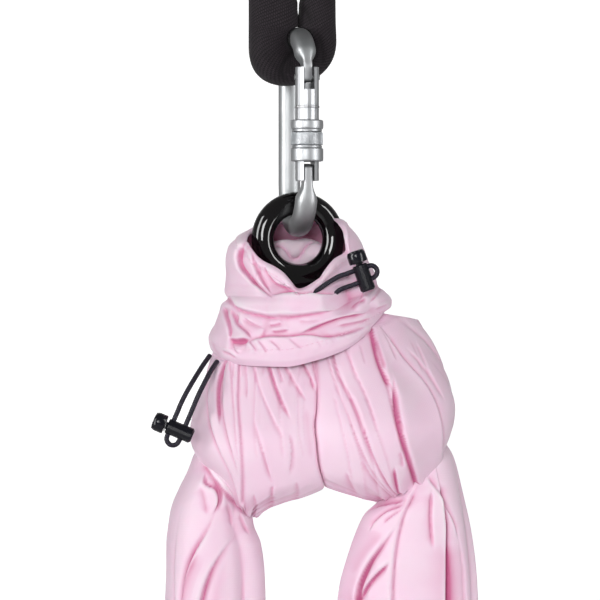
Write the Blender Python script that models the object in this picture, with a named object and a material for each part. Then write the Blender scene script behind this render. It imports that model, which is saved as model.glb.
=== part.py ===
"""Aerial silks rigged for hanging: black round sling, screw gate carabiner, figure 8,
drawstring collar and two gathered silks.

Metres, +Z up. The camera side of the object is -Y and the picture's right is +X. The origin
is the hang point, where a ceiling hook bears on the inside of the sling's upper loop.
"""

import math

import bmesh
import bpy
from mathutils import Matrix, Vector

MM = 0.001
GAP = 0.3 * MM
WELD = 0.003 * MM

# Rig as a whole
RIG_YAW = math.radians(12.0)
SLING_REACH = 200.0 * MM
RIG_X = -1.0 * MM

# Round sling: a woven sleeve over a hank of load yarn
HOOK_RADIUS = 9.0 * MM
SLEEVE_WALL = 1.6 * MM
LEFT_STRAND_REACH = 26.3 * MM
RIGHT_STRAND_REACH = 20.0 * MM
LEFT_STRAND_DEPTH = 19.0 * MM
RIGHT_STRAND_DEPTH = 21.0 * MM
BIGHT_THICKNESS = 14.5 * MM
BIGHT_BULGE = 7.5 * MM
BIGHT_DEPTH = 24.0 * MM
CROWN_THICKNESS = 14.0 * MM
NIP_HALF_GAP = 0.6 * MM
NIP_RISE = 12.5 * MM
SEAM_DROP = 60.0 * MM
SEAM_GAP = 0.8 * MM
SEAM_COVER_LENGTH = 32.0 * MM
SEAM_COVER_WALL = 1.3 * MM

# Carabiner
BOW_STOCK = 11.4 * MM
CARABINER_LENGTH = 110.0 * MM
BOW_RADIUS = 22.5 * MM
TONGUE_THICKNESS = 5.2 * MM
TONGUE_WIDTH = 8.6 * MM
TOP_STOCK_END = math.radians(24.4)
BOTTOM_STOCK_END = math.radians(9.0)
HINGE_RISE = 0.9 * MM
HINGE_PIN_DIAMETER = 3.0 * MM
HINGE_PIN_PROUD = 0.4 * MM
HINGE_EYE_WALL = 1.35 * MM
LATCH_PIN_DIAMETER = 3.0 * MM
HOOK_RISE = 1.6 * MM
NOTCH_CLEARANCE = 0.35 * MM

# Gate
GATE_DIAMETER = 12.4 * MM
GATE_TOP = 5.1 * MM
GATE_FOOT = 0.6 * MM
TOP_SLOT_DEPTH = 6.5 * MM
LATCH_PIN_RISE = 5.3 * MM
BOTTOM_SLOT_DEPTH = 11.8 * MM
GATE_BORE = 6.2 * MM
GATE_BORE_DEPTH = 22.0 * MM
PLUNGER_LENGTH = 8.0 * MM
GATE_SPRING_WIRE = 0.8 * MM
GATE_SPRING_TURNS = 7
STOP_RING_RISE = 6.8 * MM
STOP_RING_HEIGHT = 1.1 * MM
STOP_RING_SEAT = 0.9 * MM

# Screw sleeve
SLEEVE_OUTER = 17.0 * MM
SLEEVE_HEIGHT = 21.6 * MM
SLEEVE_CLEARANCE = 1.25 * MM
SLEEVE_BORE_CLEARANCE = 0.35 * MM
SLEEVE_TOP_BAND = 5.5 * MM
SLEEVE_GRIP_BAND = 8.4 * MM
SLEEVE_GROOVE_WIDTH = 1.2 * MM
SLEEVE_GROOVE_DEPTH = 0.5 * MM
SLEEVE_CHAMFER = 0.6 * MM
FRICTION_RING_HEIGHT = 1.2 * MM
FRICTION_RING_WALL = 0.7 * MM

# Figure 8
SMALL_RING_OUTER = 50.0 * MM
SMALL_RING_HOLE = 26.0 * MM
LARGE_RING_OUTER = 78.0 * MM
LARGE_RING_HOLE = 52.0 * MM
FIGURE_LENGTH = 120.0 * MM
NECK_WIDTH = 27.0 * MM
NECK_THICKNESS = 9.6 * MM
NECK_INTO_SMALL = 3.0 * MM
NECK_INTO_LARGE = 1.0 * MM
FIGURE_ROOM = 0.7 * MM

# Collar: a sewn tube, drawn in round the neck and let out at the hem
COLLAR_TOP_HALF_WIDTH = 33.5 * MM
COLLAR_TOP_HALF_DEPTH = 28.5 * MM
COLLAR_HEM_HALF_WIDTH = 46.5 * MM
COLLAR_HEM_HALF_DEPTH = 39.5 * MM
COLLAR_WALL = 2.2 * MM
COLLAR_X = -2.0 * MM
COLLAR_BACK_TOP = 289.0 * MM
COLLAR_FRONT_DIP = 39.0 * MM
COLLAR_DIP_SHARPNESS = 3.8
HEM_MIDDLE = 353.3 * MM
HEM_SIDE_TILT = 10.0 * MM
HEM_FRONT_TILT = 10.5 * MM
HEM_SADDLE = 2.2 * MM
COLLAR_CRUMPLES = 3
COLLAR_CRUMPLE_DEPTH = 1.6 * MM
COLLAR_CLEARANCE = 2.3 * MM
HEM_MARGIN = 6.0 * MM
HEM_SWELL = 2.2

# Silks. Their heights and the collar's are drawn for a neck at this height, and follow the real one.
DRAWN_NECK_Z = -320.4 * MM
SPLIT_X = 9.4 * MM
WRAP_PLEATS = 9
WRAP_PLEAT_DEPTH = 3.2 * MM
PLEAT_FULL_WIDTH = 20.0 * MM
PLEAT_LEVEL = -380.0 * MM
PLEAT_LEAN = 15.0
FIT_STEPS = 50
WRAP_TOP_SLOPE = 1.0
WRAP_SLOPE_FADE = 60.0 * MM
BAND_RADIUS = 6.5 * MM
BAND_HALF_WIDTH = 22.5 * MM
BAND_HALF_DEPTH = 12.5 * MM

# Drawcords and their locks
CORD_DIAMETER = 2.6 * MM
CORD_HOLE = 3.1 * MM
CORD_SPACING = 6.6 * MM
LOCK_LENGTH = 21.4 * MM
LOCK_BARREL_LENGTH = 14.2 * MM
LOCK_BARREL_DIAMETER = 8.0 * MM
LOCK_END_WALL = 1.0 * MM
LOCK_STEM_DIAMETER = 4.8 * MM
LOCK_STEM_WALL = 0.8 * MM
LOCK_PRESS = 1.8 * MM
LOCK_CAP_DIAMETER = 8.4 * MM
LOCK_CAP_LENGTH = 5.0 * MM
LOCK_CAP_WALL = 0.6 * MM
LOCK_CAP_ROOF = 1.6 * MM
LOCK_ROUNDING = 0.9 * MM
LOCK_SPRING_WIRE = 0.45 * MM
LOCK_SPRING_DIAMETER = 6.2 * MM
LOCK_SPRING_TURNS = 3

# Worked out from the sizes above
STOCK_R = BOW_STOCK / 2
NEST_R = STOCK_R + GAP
TOP_STOCK_Z = -SLING_REACH + STOCK_R
TOP_ARC_Z = TOP_STOCK_Z - BOW_RADIUS
BOTTOM_STOCK_Z = TOP_STOCK_Z + STOCK_R - CARABINER_LENGTH + STOCK_R
BOTTOM_ARC_Z = BOTTOM_STOCK_Z + BOW_RADIUS
HINGE_Z = TOP_ARC_Z + HINGE_RISE
GATE_R = GATE_DIAMETER / 2
GATE_TOP_Z = HINGE_Z + GATE_TOP
GATE_BOTTOM_Z = BOTTOM_ARC_Z + GATE_FOOT
LATCH_Z = GATE_BOTTOM_Z + LATCH_PIN_RISE
NOTCH = LATCH_PIN_DIAMETER / 2 + NOTCH_CLEARANCE
NOSE_TOP_Z = LATCH_Z + NOTCH + HOOK_RISE
SLOT_BASE_Z = HINGE_Z - TOP_SLOT_DEPTH
SLEEVE_MIDDLE_Z = NOSE_TOP_Z + SLEEVE_CLEARANCE + SLEEVE_HEIGHT / 2
STOP_RING_Z = SLEEVE_MIDDLE_Z + SLEEVE_HEIGHT / 2 + STOP_RING_RISE
SMALL_TUBE_R = (SMALL_RING_OUTER - SMALL_RING_HOLE) / 4
SMALL_RING_R = (SMALL_RING_OUTER + SMALL_RING_HOLE) / 4
LARGE_TUBE_R = (LARGE_RING_OUTER - LARGE_RING_HOLE) / 4
LARGE_RING_R = (LARGE_RING_OUTER + LARGE_RING_HOLE) / 4
SMALL_RING_Z = BOTTOM_STOCK_Z + STOCK_R + GAP - SMALL_RING_HOLE / 2
FIGURE_TOP_Z = SMALL_RING_Z + SMALL_RING_OUTER / 2
LARGE_RING_Z = FIGURE_TOP_Z - FIGURE_LENGTH + LARGE_RING_OUTER / 2
NECK_TOP_Z = SMALL_RING_Z - SMALL_RING_HOLE / 2 + NECK_INTO_SMALL
NECK_BOTTOM_Z = LARGE_RING_Z + LARGE_RING_HOLE / 2 - NECK_INTO_LARGE
NECK_HEIGHT = NECK_TOP_Z - NECK_BOTTOM_Z
NECK_Z = (NECK_TOP_Z + NECK_BOTTOM_Z) / 2

COLOURS = {
    "sling": ((0.030, 0.026, 0.028), 0.85, 0.0),
    "yarn": ((0.78, 0.76, 0.70), 0.90, 0.0),
    "steel": ((0.62, 0.62, 0.63), 0.30, 1.0),
    "dark_steel": ((0.25, 0.25, 0.26), 0.40, 1.0),
    "rubber": ((0.02, 0.02, 0.02), 0.60, 0.0),
    "black_alloy": ((0.012, 0.011, 0.012), 0.15, 0.6),
    "silk": ((0.90, 0.66, 0.80), 0.55, 0.0),
    "collar": ((0.91, 0.69, 0.82), 0.55, 0.0),
    "cord": ((0.022, 0.016, 0.036), 0.80, 0.0),
    "lock": ((0.020, 0.018, 0.032), 0.30, 0.0),
}


def material_for(finish):
    """Return the finish's material, made at its first use."""
    if finish in bpy.data.materials:
        return bpy.data.materials[finish]
    colour, roughness, metallic = COLOURS[finish]
    material = bpy.data.materials.new(finish)
    material.use_nodes = True
    shader = material.node_tree.nodes["Principled BSDF"]
    shader.inputs["Base Color"].default_value = (*colour, 1.0)
    shader.inputs["Roughness"].default_value = roughness
    shader.inputs["Metallic"].default_value = metallic
    material.diffuse_color = (*colour, 1.0)
    return material


def add_empty(name, place, parent=None, turn=(0.0, 0.0, 0.0)):
    """An empty that stands on a joint's axis, placed in its parent's frame."""
    empty = bpy.data.objects.new(name, None)
    empty.empty_display_size = 0.01
    bpy.context.scene.collection.objects.link(empty)
    empty.location = place
    empty.rotation_euler = turn
    empty.parent = parent
    return empty


def add_object(name, mesh, finish, parent=None):
    """Put a mesh that is drawn in its parent's frame on an object."""
    obj = bpy.data.objects.new(name, mesh)
    bpy.context.scene.collection.objects.link(obj)
    obj.parent = parent
    if finish:
        mesh.materials.append(material_for(finish))
    return obj


def finish_mesh(name, bm, sharp=40.0):
    """Turn a bmesh into a smooth shaded mesh with its faces pointing out."""
    bmesh.ops.recalc_face_normals(bm, faces=bm.faces)
    mesh = bpy.data.meshes.new(name)
    bm.to_mesh(mesh)
    bm.free()
    mesh.shade_smooth()
    mesh.set_sharp_from_angle(angle=math.radians(sharp))
    return mesh


def bridge(bm, ring_a, ring_b):
    """Quads between two rings of the same count."""
    count = len(ring_a)
    for k in range(count):
        after = (k + 1) % count
        bm.faces.new((ring_a[k], ring_a[after], ring_b[after], ring_b[k]))


def cap(bm, ring):
    """Close a ring with a fan about its middle."""
    hub = bm.verts.new(sum((v.co for v in ring), Vector()) / len(ring))
    for k, vert in enumerate(ring):
        bm.faces.new((vert, ring[(k + 1) % len(ring)], hub))


def loft(bm, rings, closed=False, caps=True):
    """Skin a list of rings of points, closed on itself or capped at both ends."""
    made = [[bm.verts.new(p) for p in ring] for ring in rings]
    for ring_a, ring_b in zip(made, made[1:]):
        bridge(bm, ring_a, ring_b)
    if closed:
        bridge(bm, made[-1], made[0])
    elif caps:
        cap(bm, made[0])
        cap(bm, made[-1])
    return made


def loft_object(name, rings, finish, parent=None, closed=False, sharp=40.0):
    """An object skinned over rings of points."""
    bm = bmesh.new()
    loft(bm, rings, closed=closed)
    return add_object(name, finish_mesh(name, bm, sharp), finish, parent)


def shell_object(name, outer_rings, inner_rings, finish, parent=None):
    """An open tube with a wall: two skins joined at both ends."""
    bm = bmesh.new()
    outer = loft(bm, outer_rings, caps=False)
    inner = loft(bm, inner_rings, caps=False)
    bridge(bm, outer[0], inner[0])
    bridge(bm, outer[-1], inner[-1])
    return add_object(name, finish_mesh(name, bm), finish, parent)


def circle(centre, axis_a, axis_b, radius, sides):
    """Points round a circle in the plane of two unit axes."""
    points = []
    for k in range(sides):
        a = math.tau * (k + 0.5) / sides
        points.append(centre + axis_a * (radius * math.cos(a)) + axis_b * (radius * math.sin(a)))
    return points


def turned(name, profile, centre, finish, parent=None, sides=24):
    """A turned piece: a closed outline of (radius, height) swept round an upright axis."""
    rings = []
    for radius, height in profile:
        middle = centre + Vector((0, 0, height))
        rings.append(circle(middle, Vector((1, 0, 0)), Vector((0, 1, 0)), radius, sides))
    return loft_object(name, rings, finish, parent, closed=True)


def rod(name, start, end, radius, finish=None, parent=None, sides=12):
    """A plain round bar between two points."""
    axis = (end - start).normalized()
    across = Vector((0, 0, 1)) if abs(axis.z) < 0.9 else Vector((1, 0, 0))
    other = axis.cross(across).normalized()
    across = other.cross(axis).normalized()
    rings = [circle(start, across, other, radius, sides), circle(end, across, other, radius, sides)]
    return loft_object(name, rings, finish, parent)


def block(name, low, high, finish=None, parent=None):
    """A box between two corners."""
    bm = bmesh.new()
    bmesh.ops.create_cube(bm, size=1.0)
    low, high = Vector(low), Vector(high)
    for vert in bm.verts:
        share = vert.co + Vector((0.5, 0.5, 0.5))
        vert.co = Vector(low[i] + share[i] * (high[i] - low[i]) for i in range(3))
    return add_object(name, finish_mesh(name, bm), finish, parent)


def plate(name, outline, half_thickness, finish=None, parent=None):
    """A flat plate: an outline of (y, z) points, thick along X."""
    bm = bmesh.new()
    near = [bm.verts.new((-half_thickness, y, z)) for y, z in outline]
    far = [bm.verts.new((half_thickness, y, z)) for y, z in outline]
    bridge(bm, near, far)
    bm.faces.new(near)
    bm.faces.new(list(reversed(far)))
    return add_object(name, finish_mesh(name, bm), finish, parent)


def combine(target, tools, operation):
    """Apply a Boolean of each tool to the target, and drop the tools."""
    for tool in tools:
        modifier = target.modifiers.new(tool.name, "BOOLEAN")
        modifier.object = tool
        modifier.operation = operation
        modifier.solver = "EXACT"
        bpy.context.view_layer.update()
        graph = bpy.context.evaluated_depsgraph_get()
        mesh = bpy.data.meshes.new_from_object(target.evaluated_get(graph))
        target.modifiers.clear()
        bm = bmesh.new()
        bm.from_mesh(mesh)
        bmesh.ops.remove_doubles(bm, verts=bm.verts, dist=WELD)
        bmesh.ops.dissolve_degenerate(bm, edges=bm.edges, dist=WELD)
        bm.to_mesh(mesh)
        bm.free()
        target.data = mesh
        bpy.data.objects.remove(tool)
    target.data.shade_smooth()
    target.data.set_sharp_from_angle(angle=math.radians(40))
    return target


def settle(value):
    """Ease a share from 0 to 1, level at both ends."""
    value = min(max(value, 0.0), 1.0)
    return value * value * (3 - 2 * value)


def between(keys, at):
    """Read a value off a short list of (place, value) keys, eased from key to key."""
    if at <= keys[0][0]:
        return keys[0][1]
    for (place_a, value_a), (place_b, value_b) in zip(keys, keys[1:]):
        if at <= place_b:
            return value_a + (value_b - value_a) * settle((at - place_a) / (place_b - place_a))
    return keys[-1][1]


def along(keys, at):
    """Read a value off a short list of (place, value) keys, straight from key to key."""
    for (place_a, value_a), (place_b, value_b) in zip(keys, keys[1:]):
        if at <= place_b:
            share = max(0.0, (at - place_a) / (place_b - place_a))
            return value_a + (value_b - value_a) * share
    return keys[-1][1]


def smooth_route(points, spacing):
    """Points at an even spacing on a smooth curve through a route's own points."""
    route = [Vector(p) * MM for p in points]
    dense = []
    for i in range(len(route) - 1):
        before = route[max(i - 1, 0)]
        start, end = route[i], route[i + 1]
        after = route[min(i + 2, len(route) - 1)]
        for step in range(24):
            t = step / 24
            dense.append(
                0.5
                * (
                    2 * start
                    + (end - before) * t
                    + (2 * before - 5 * start + 4 * end - after) * t * t
                    + (3 * start - before - 3 * end + after) * t ** 3
                )
            )
    dense.append(route[-1])
    total = sum((b - a).length for a, b in zip(dense, dense[1:]))
    count = max(2, round(total / spacing))
    wanted = [total * k / count for k in range(count + 1)]
    out, walked, i = [dense[0]], 0.0, 0
    for target in wanted[1:-1]:
        while walked + (dense[i + 1] - dense[i]).length < target:
            walked += (dense[i + 1] - dense[i]).length
            i += 1
        share = (target - walked) / (dense[i + 1] - dense[i]).length
        out.append(dense[i].lerp(dense[i + 1], share))
    out.append(dense[-1])
    return out


def tube(name, points, diameter, finish, parent=None, resolution=2):
    """A round cord or wire along points, as a bevelled curve with filled caps."""
    curve = bpy.data.curves.new(name, "CURVE")
    curve.dimensions = "3D"
    curve.bevel_depth = diameter / 2
    curve.bevel_resolution = resolution
    curve.use_fill_caps = True
    spline = curve.splines.new("POLY")
    spline.points.add(len(points) - 1)
    for point, place in zip(spline.points, points):
        point.co = (*place, 1.0)
    curve.materials.append(material_for(finish))
    obj = bpy.data.objects.new(name, curve)
    bpy.context.scene.collection.objects.link(obj)
    obj.parent = parent
    return obj


def coil(name, centre, axis, across, radius, length, turns, per_turn, wire, parent):
    """A wound spring as one tube, with the least gap between its turns printed."""
    other = axis.cross(across)
    points = []
    for k in range(turns * per_turn + 1):
        share = k / (turns * per_turn)
        a = math.tau * turns * share
        off = across * math.cos(a) + other * math.sin(a)
        points.append(centre + axis * (length * share) + off * radius)
    apart = [
        (points[j] - points[i]).length
        for i in range(len(points))
        for j in range(i + per_turn // 2, len(points))
    ]
    print(name, "least gap between turns", round((min(apart) - wire) / MM, 2), "mm")
    return tube(name, points, wire, "steel", parent, 1)


# Round sling. Its loop lies in the rig's X-Z plane and its sections are deep along Y.
SECTION_SIDES = 14
BULGE_ANGLE = 46
BULGE_END = 8
BIGHT_FLAT = 15
STRAND_REACH = {-1: LEFT_STRAND_REACH, 1: RIGHT_STRAND_REACH}
STRAND_DEPTH = {-1: LEFT_STRAND_DEPTH, 1: RIGHT_STRAND_DEPTH}
CROWN_Z = -HOOK_RADIUS


def strand_inside(z):
    """How far a strand's inner face stands from the loop's middle line at a height."""
    nip_z = TOP_STOCK_Z + NIP_RISE
    keys = [
        (TOP_STOCK_Z, NEST_R),
        (TOP_STOCK_Z + STOCK_R * 0.75, NEST_R * 0.86),
        (nip_z, NIP_HALF_GAP),
        (nip_z + NIP_RISE * 0.5, NIP_HALF_GAP * 1.5),
    ]
    if z <= keys[-1][0]:
        return between(keys, z)
    share = (z - keys[-1][0]) / (CROWN_Z - keys[-1][0])
    return keys[-1][1] + (HOOK_RADIUS - keys[-1][1]) * share


def strand_station(side, z):
    """Section frame on the left (-1) or right (+1) strand at a height."""
    inside = strand_inside(z)
    fade = settle((TOP_STOCK_Z + NIP_RISE - z) / NIP_RISE)
    thickness = STRAND_REACH[side] - inside
    return (side * inside, z), (side, 0.0), thickness, STRAND_DEPTH[side] / 2, BOW_RADIUS, fade


def bight_station(angle):
    """Section frame on the lower bight, angle 0 straight down and 90 to the right."""
    out = (math.sin(angle), -math.cos(angle))
    inner = (NEST_R * out[0], TOP_STOCK_Z + NEST_R * out[1])
    degrees = math.degrees(angle)
    level = NEST_R + BIGHT_THICKNESS
    reaches = [
        (-90, LEFT_STRAND_REACH), (-BULGE_ANGLE, level + BIGHT_BULGE), (BULGE_END, level),
        (BULGE_ANGLE, level + BIGHT_BULGE * 0.1), (90, RIGHT_STRAND_REACH),
    ]
    depths = [
        (-90, LEFT_STRAND_DEPTH), (-BIGHT_FLAT, BIGHT_DEPTH),
        (BIGHT_FLAT, BIGHT_DEPTH), (90, RIGHT_STRAND_DEPTH),
    ]
    reach, depth = between(reaches, degrees), between(depths, degrees)
    return inner, out, reach - NEST_R, depth / 2, BOW_RADIUS - NEST_R * math.cos(angle), 1.0


def crown_station(angle):
    """Section frame on the upper loop, angle 0 straight up and 90 to the right."""
    out = (math.sin(angle), math.cos(angle))
    inner = (HOOK_RADIUS * out[0], CROWN_Z + HOOK_RADIUS * out[1])
    side = 1 if angle > 0 else -1
    share = abs(math.sin(angle)) ** 2
    thickness = CROWN_THICKNESS + (STRAND_REACH[side] - HOOK_RADIUS - CROWN_THICKNESS) * share
    depth = BIGHT_DEPTH + (STRAND_DEPTH[side] - BIGHT_DEPTH) * share
    return inner, out, thickness, depth / 2, BOW_RADIUS, 0.0


def sling_section(station, inset):
    """Ring of points round a station's section, drawn in by inset on every side."""
    inner, out, thickness, half_depth, nest_radius, sag_share = station
    ring = []
    for k in range(SECTION_SIDES):
        a = math.tau * (k + 0.5) / SECTION_SIDES
        c, s = math.cos(a), math.sin(a)
        depth = (half_depth - inset) * math.copysign(abs(c) ** 0.8, c)
        share = 0.5 - 0.5 * math.copysign(abs(s) ** 0.8, s)
        away = inset + share * (thickness - 2 * inset)
        sag = nest_radius - math.sqrt(max(nest_radius ** 2 - depth ** 2, 0.0))
        drop = sag * sag_share * (1 - share)
        ring.append(Vector((inner[0] + out[0] * away, depth, inner[1] + out[1] * away - drop)))
    return ring


def sling_stations(seam_half_gap):
    """Stations round the whole loop, from the seam down, round and back to the seam."""
    nip_z = TOP_STOCK_Z + NIP_RISE
    rises = [STOCK_R * 0.6, NIP_RISE * 0.62, NIP_RISE]
    low = [TOP_STOCK_Z + rise for rise in rises]
    spread = [nip_z + (CROWN_Z - nip_z) * share for share in (0.16, 0.4, 0.68, 0.88)]
    seam_z = -SEAM_DROP
    right = low + spread
    left_down = [z for z in reversed(low + spread) if z < seam_z - 2 * SEAM_GAP]
    left_top = [z for z in reversed(spread) if z > seam_z + 2 * SEAM_GAP]
    stations = [strand_station(-1, seam_z - seam_half_gap)]
    stations += [strand_station(-1, z) for z in left_down]
    stations += [bight_station(math.radians(-90 + 20 * k)) for k in range(10)]
    stations += [strand_station(1, z) for z in right]
    stations += [crown_station(math.radians(90 - 22.5 * k)) for k in range(9)]
    stations += [strand_station(-1, z) for z in left_top]
    stations += [strand_station(-1, seam_z + seam_half_gap)]
    return stations


def build_sling(rig):
    """Sleeve, yarn core and the cover over the sleeve's seam."""
    stations = sling_stations(SEAM_GAP / 2)
    outer = [sling_section(s, 0.0) for s in stations]
    inner = [sling_section(s, SLEEVE_WALL) for s in stations]
    shell_object("sling_sleeve", outer, inner, "sling", rig)
    core = [sling_section(s, SLEEVE_WALL + GAP) for s in stations[:-1]]
    loft_object("sling_core", core, "yarn", rig, closed=True)
    heights = [-SEAM_DROP + SEAM_COVER_LENGTH * share for share in (0.5, 0.0, -0.5)]
    cover = [strand_station(-1, z) for z in heights]
    outside = [sling_section(s, -GAP - SEAM_COVER_WALL) for s in cover]
    inside = [sling_section(s, -GAP) for s in cover]
    shell_object("sling_seam_cover", outside, inside, "sling", rig)


def bow_point(radius, angle):
    """A point in the carabiner's Y-Z plane: angle from the gate side, over the top and round."""
    middle = TOP_ARC_Z if angle <= math.pi else BOTTOM_ARC_Z
    return Vector((0.0, -radius * math.cos(angle), middle + radius * math.sin(angle)))


def build_carabiner(swing):
    """The bent steel frame with its hinge tongue and latch nose."""
    lift = Vector((0, 0, -TOP_ARC_Z))
    steps = 14
    top = [TOP_STOCK_END + (math.pi - TOP_STOCK_END) * k / steps for k in range(steps + 1)]
    span = math.pi - BOTTOM_STOCK_END
    bottom = [math.pi + 1e-6 + span * k / steps for k in range(steps + 1)]
    rings = []
    for angle in top + bottom:
        centre = bow_point(BOW_RADIUS, angle)
        outward = Vector((0, -math.cos(angle), math.sin(angle)))
        rings.append(circle(centre + lift, outward, Vector((1, 0, 0)), STOCK_R, 14))
    frame = loft_object("carabiner_frame", rings, "steel", swing)

    pin_r = HINGE_PIN_DIAMETER / 2
    eye_r = pin_r + HINGE_EYE_WALL
    half = TONGUE_WIDTH / 2
    sunk = TOP_STOCK_END + math.radians(10)
    outline = [bow_point(BOW_RADIUS + half, sunk), bow_point(BOW_RADIUS + half, TOP_STOCK_END)]
    outline = [(p.y, p.z) for p in outline]
    for k in range(9):
        a = math.pi + math.pi * k / 8
        outline.append((-BOW_RADIUS + eye_r * math.cos(a), HINGE_Z + eye_r * math.sin(a)))
    inside = [bow_point(BOW_RADIUS - half, TOP_STOCK_END), bow_point(BOW_RADIUS - half, sunk)]
    outline += [(p.y, p.z) for p in inside]
    outline = [(y, z - TOP_ARC_Z) for y, z in outline]
    tongue = plate("tongue", outline, TONGUE_THICKNESS / 2, parent=swing)

    root_z = BOTTOM_ARC_Z - BOW_RADIUS * math.sin(BOTTOM_STOCK_END) - STOCK_R
    high, low = LATCH_Z + NOTCH, LATCH_Z - NOTCH
    shape = [
        (-half, root_z), (-half, NOSE_TOP_Z), (half, NOSE_TOP_Z), (half, high),
        (-NOTCH, high), (-NOTCH, low), (half, low), (half, root_z),
    ]
    shape = [(y - BOW_RADIUS, z - TOP_ARC_Z) for y, z in shape]
    nose = plate("nose", shape, TONGUE_THICKNESS / 2, parent=swing)
    combine(frame, [tongue, nose], "UNION")
    reach = Vector((TONGUE_THICKNESS, 0, 0))
    hinge = Vector((0, -BOW_RADIUS, HINGE_Z - TOP_ARC_Z))
    hole = rod("hole", hinge - reach, hinge + reach, pin_r + GAP, parent=swing)
    combine(frame, [hole], "DIFFERENCE")


def gate_point(x, y, z):
    """A point given from the gate's middle line and world height, in the hinge's frame."""
    return Vector((x, y, z - HINGE_Z))


def gate_rod(name, z_low, z_high, radius, hinge, finish=None, sides=20):
    """A bar on the gate's middle line."""
    return rod(name, gate_point(0, 0, z_low), gate_point(0, 0, z_high), radius, finish, hinge, sides)


def build_gate(hinge):
    """Gate with its forks, pins, closing spring, plunger and stop ring."""
    gate = gate_rod("gate", GATE_BOTTOM_Z, GATE_TOP_Z, GATE_R, hinge, "steel")
    slot = TONGUE_THICKNESS / 2 + GAP
    wide = GATE_R * 2
    corners = gate_point(-slot, -wide, SLOT_BASE_Z), gate_point(slot, wide, GATE_TOP_Z + wide)
    top_slot = block("top_slot", *corners, parent=hinge)
    base_z = GATE_BOTTOM_Z + BOTTOM_SLOT_DEPTH
    corners = gate_point(-slot, -wide, GATE_BOTTOM_Z - wide), gate_point(slot, wide, base_z)
    low_slot = block("low_slot", *corners, parent=hinge)
    bore_end = SLOT_BASE_Z - GATE_BORE_DEPTH
    bore = gate_rod("bore", bore_end, SLOT_BASE_Z + wide / 4, GATE_BORE / 2, hinge, sides=16)
    ring_half = STOP_RING_HEIGHT / 2 + GAP
    seat_r = GATE_R - STOP_RING_SEAT
    seat = turned(
        "seat",
        [(wide, -ring_half), (wide, ring_half), (seat_r, ring_half), (seat_r, -ring_half)],
        gate_point(0, 0, STOP_RING_Z),
        None,
        hinge,
        20,
    )
    combine(gate, [top_slot, low_slot, bore, seat], "DIFFERENCE")
    pin_fit = GAP / 2
    pins = (
        ("gate_hinge_pin", HINGE_Z, HINGE_PIN_DIAMETER / 2, GATE_R + HINGE_PIN_PROUD),
        ("gate_latch_pin", LATCH_Z, LATCH_PIN_DIAMETER / 2, GATE_R - GAP),
    )
    for name, z, radius, reach in pins:
        ends = gate_point(-2 * GATE_R, 0, z), gate_point(2 * GATE_R, 0, z)
        combine(gate, [rod("hole", *ends, radius + pin_fit, parent=hinge)], "DIFFERENCE")
        rod(name, gate_point(-reach, 0, z), gate_point(reach, 0, z), radius, "dark_steel", hinge)
    gate.name = "gate_tube"

    eye_r = HINGE_PIN_DIAMETER / 2 + HINGE_EYE_WALL
    tip_z = HINGE_Z - eye_r - GAP
    gate_rod("gate_plunger", tip_z - PLUNGER_LENGTH, tip_z, GATE_BORE / 2 - GAP, hinge, "steel", 12)
    spring_top = tip_z - PLUNGER_LENGTH - GAP - GATE_SPRING_WIRE / 2
    spring_length = spring_top - (bore_end + GAP + GATE_SPRING_WIRE / 2)
    spring_r = GATE_BORE / 2 - GAP - GATE_SPRING_WIRE / 2
    coil(
        "gate_spring", gate_point(0, 0, spring_top), Vector((0, 0, -1)), Vector((1, 0, 0)),
        spring_r, spring_length, GATE_SPRING_TURNS, 8, GATE_SPRING_WIRE, hinge,
    )

    low, high = -STOP_RING_HEIGHT / 2, STOP_RING_HEIGHT / 2
    inner_r, outer_r = seat_r + GAP, GATE_R + GAP
    outline = [(outer_r, low), (outer_r, high), (inner_r, high), (inner_r, low)]
    turned("gate_stop_ring", outline, gate_point(0, 0, STOP_RING_Z), "dark_steel", hinge, 20)


def build_screw_sleeve(axis):
    """The turning sleeve and the rubber ring that drags in its groove."""
    bore_r = GATE_R + SLEEVE_BORE_CLEARANCE
    outer_r = SLEEVE_OUTER / 2
    half = SLEEVE_HEIGHT / 2
    ring_outer = bore_r + FRICTION_RING_WALL
    groove_half = FRICTION_RING_HEIGHT / 2 + GAP
    cut_r = outer_r - SLEEVE_GROOVE_DEPTH
    chamfer = SLEEVE_CHAMFER
    outline = [(outer_r - chamfer, -half), (outer_r, -half + chamfer)]
    for middle in (half - SLEEVE_TOP_BAND - SLEEVE_GRIP_BAND, half - SLEEVE_TOP_BAND):
        outline += [
            (outer_r, middle - SLEEVE_GROOVE_WIDTH / 2),
            (cut_r, middle),
            (outer_r, middle + SLEEVE_GROOVE_WIDTH / 2),
        ]
    outline += [(outer_r, half - chamfer), (outer_r - chamfer, half), (bore_r, half)]
    outline += [(bore_r, groove_half), (ring_outer + GAP, groove_half)]
    outline += [(ring_outer + GAP, -groove_half), (bore_r, -groove_half), (bore_r, -half)]
    turned("screw_sleeve", outline, Vector(), "steel", axis, 24)
    low, high = -FRICTION_RING_HEIGHT / 2, FRICTION_RING_HEIGHT / 2
    ring_r = GATE_R + GAP / 2
    ring = [(ring_outer, low), (ring_outer, high), (ring_r, high), (ring_r, low)]
    turned("sleeve_friction_ring", ring, Vector(), "rubber", axis, 20)


def ring_piece(name, middle, ring_r, tube_r, steps, sides, finish=None, parent=None):
    """A round ring standing in the X-Z plane."""
    rings = []
    for k in range(steps):
        a = math.tau * k / steps
        outward = Vector((math.cos(a), 0, math.sin(a)))
        rings.append(circle(middle + outward * ring_r, outward, Vector((0, 1, 0)), tube_r, sides))
    return loft_object(name, rings, finish, parent, closed=True)


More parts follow.
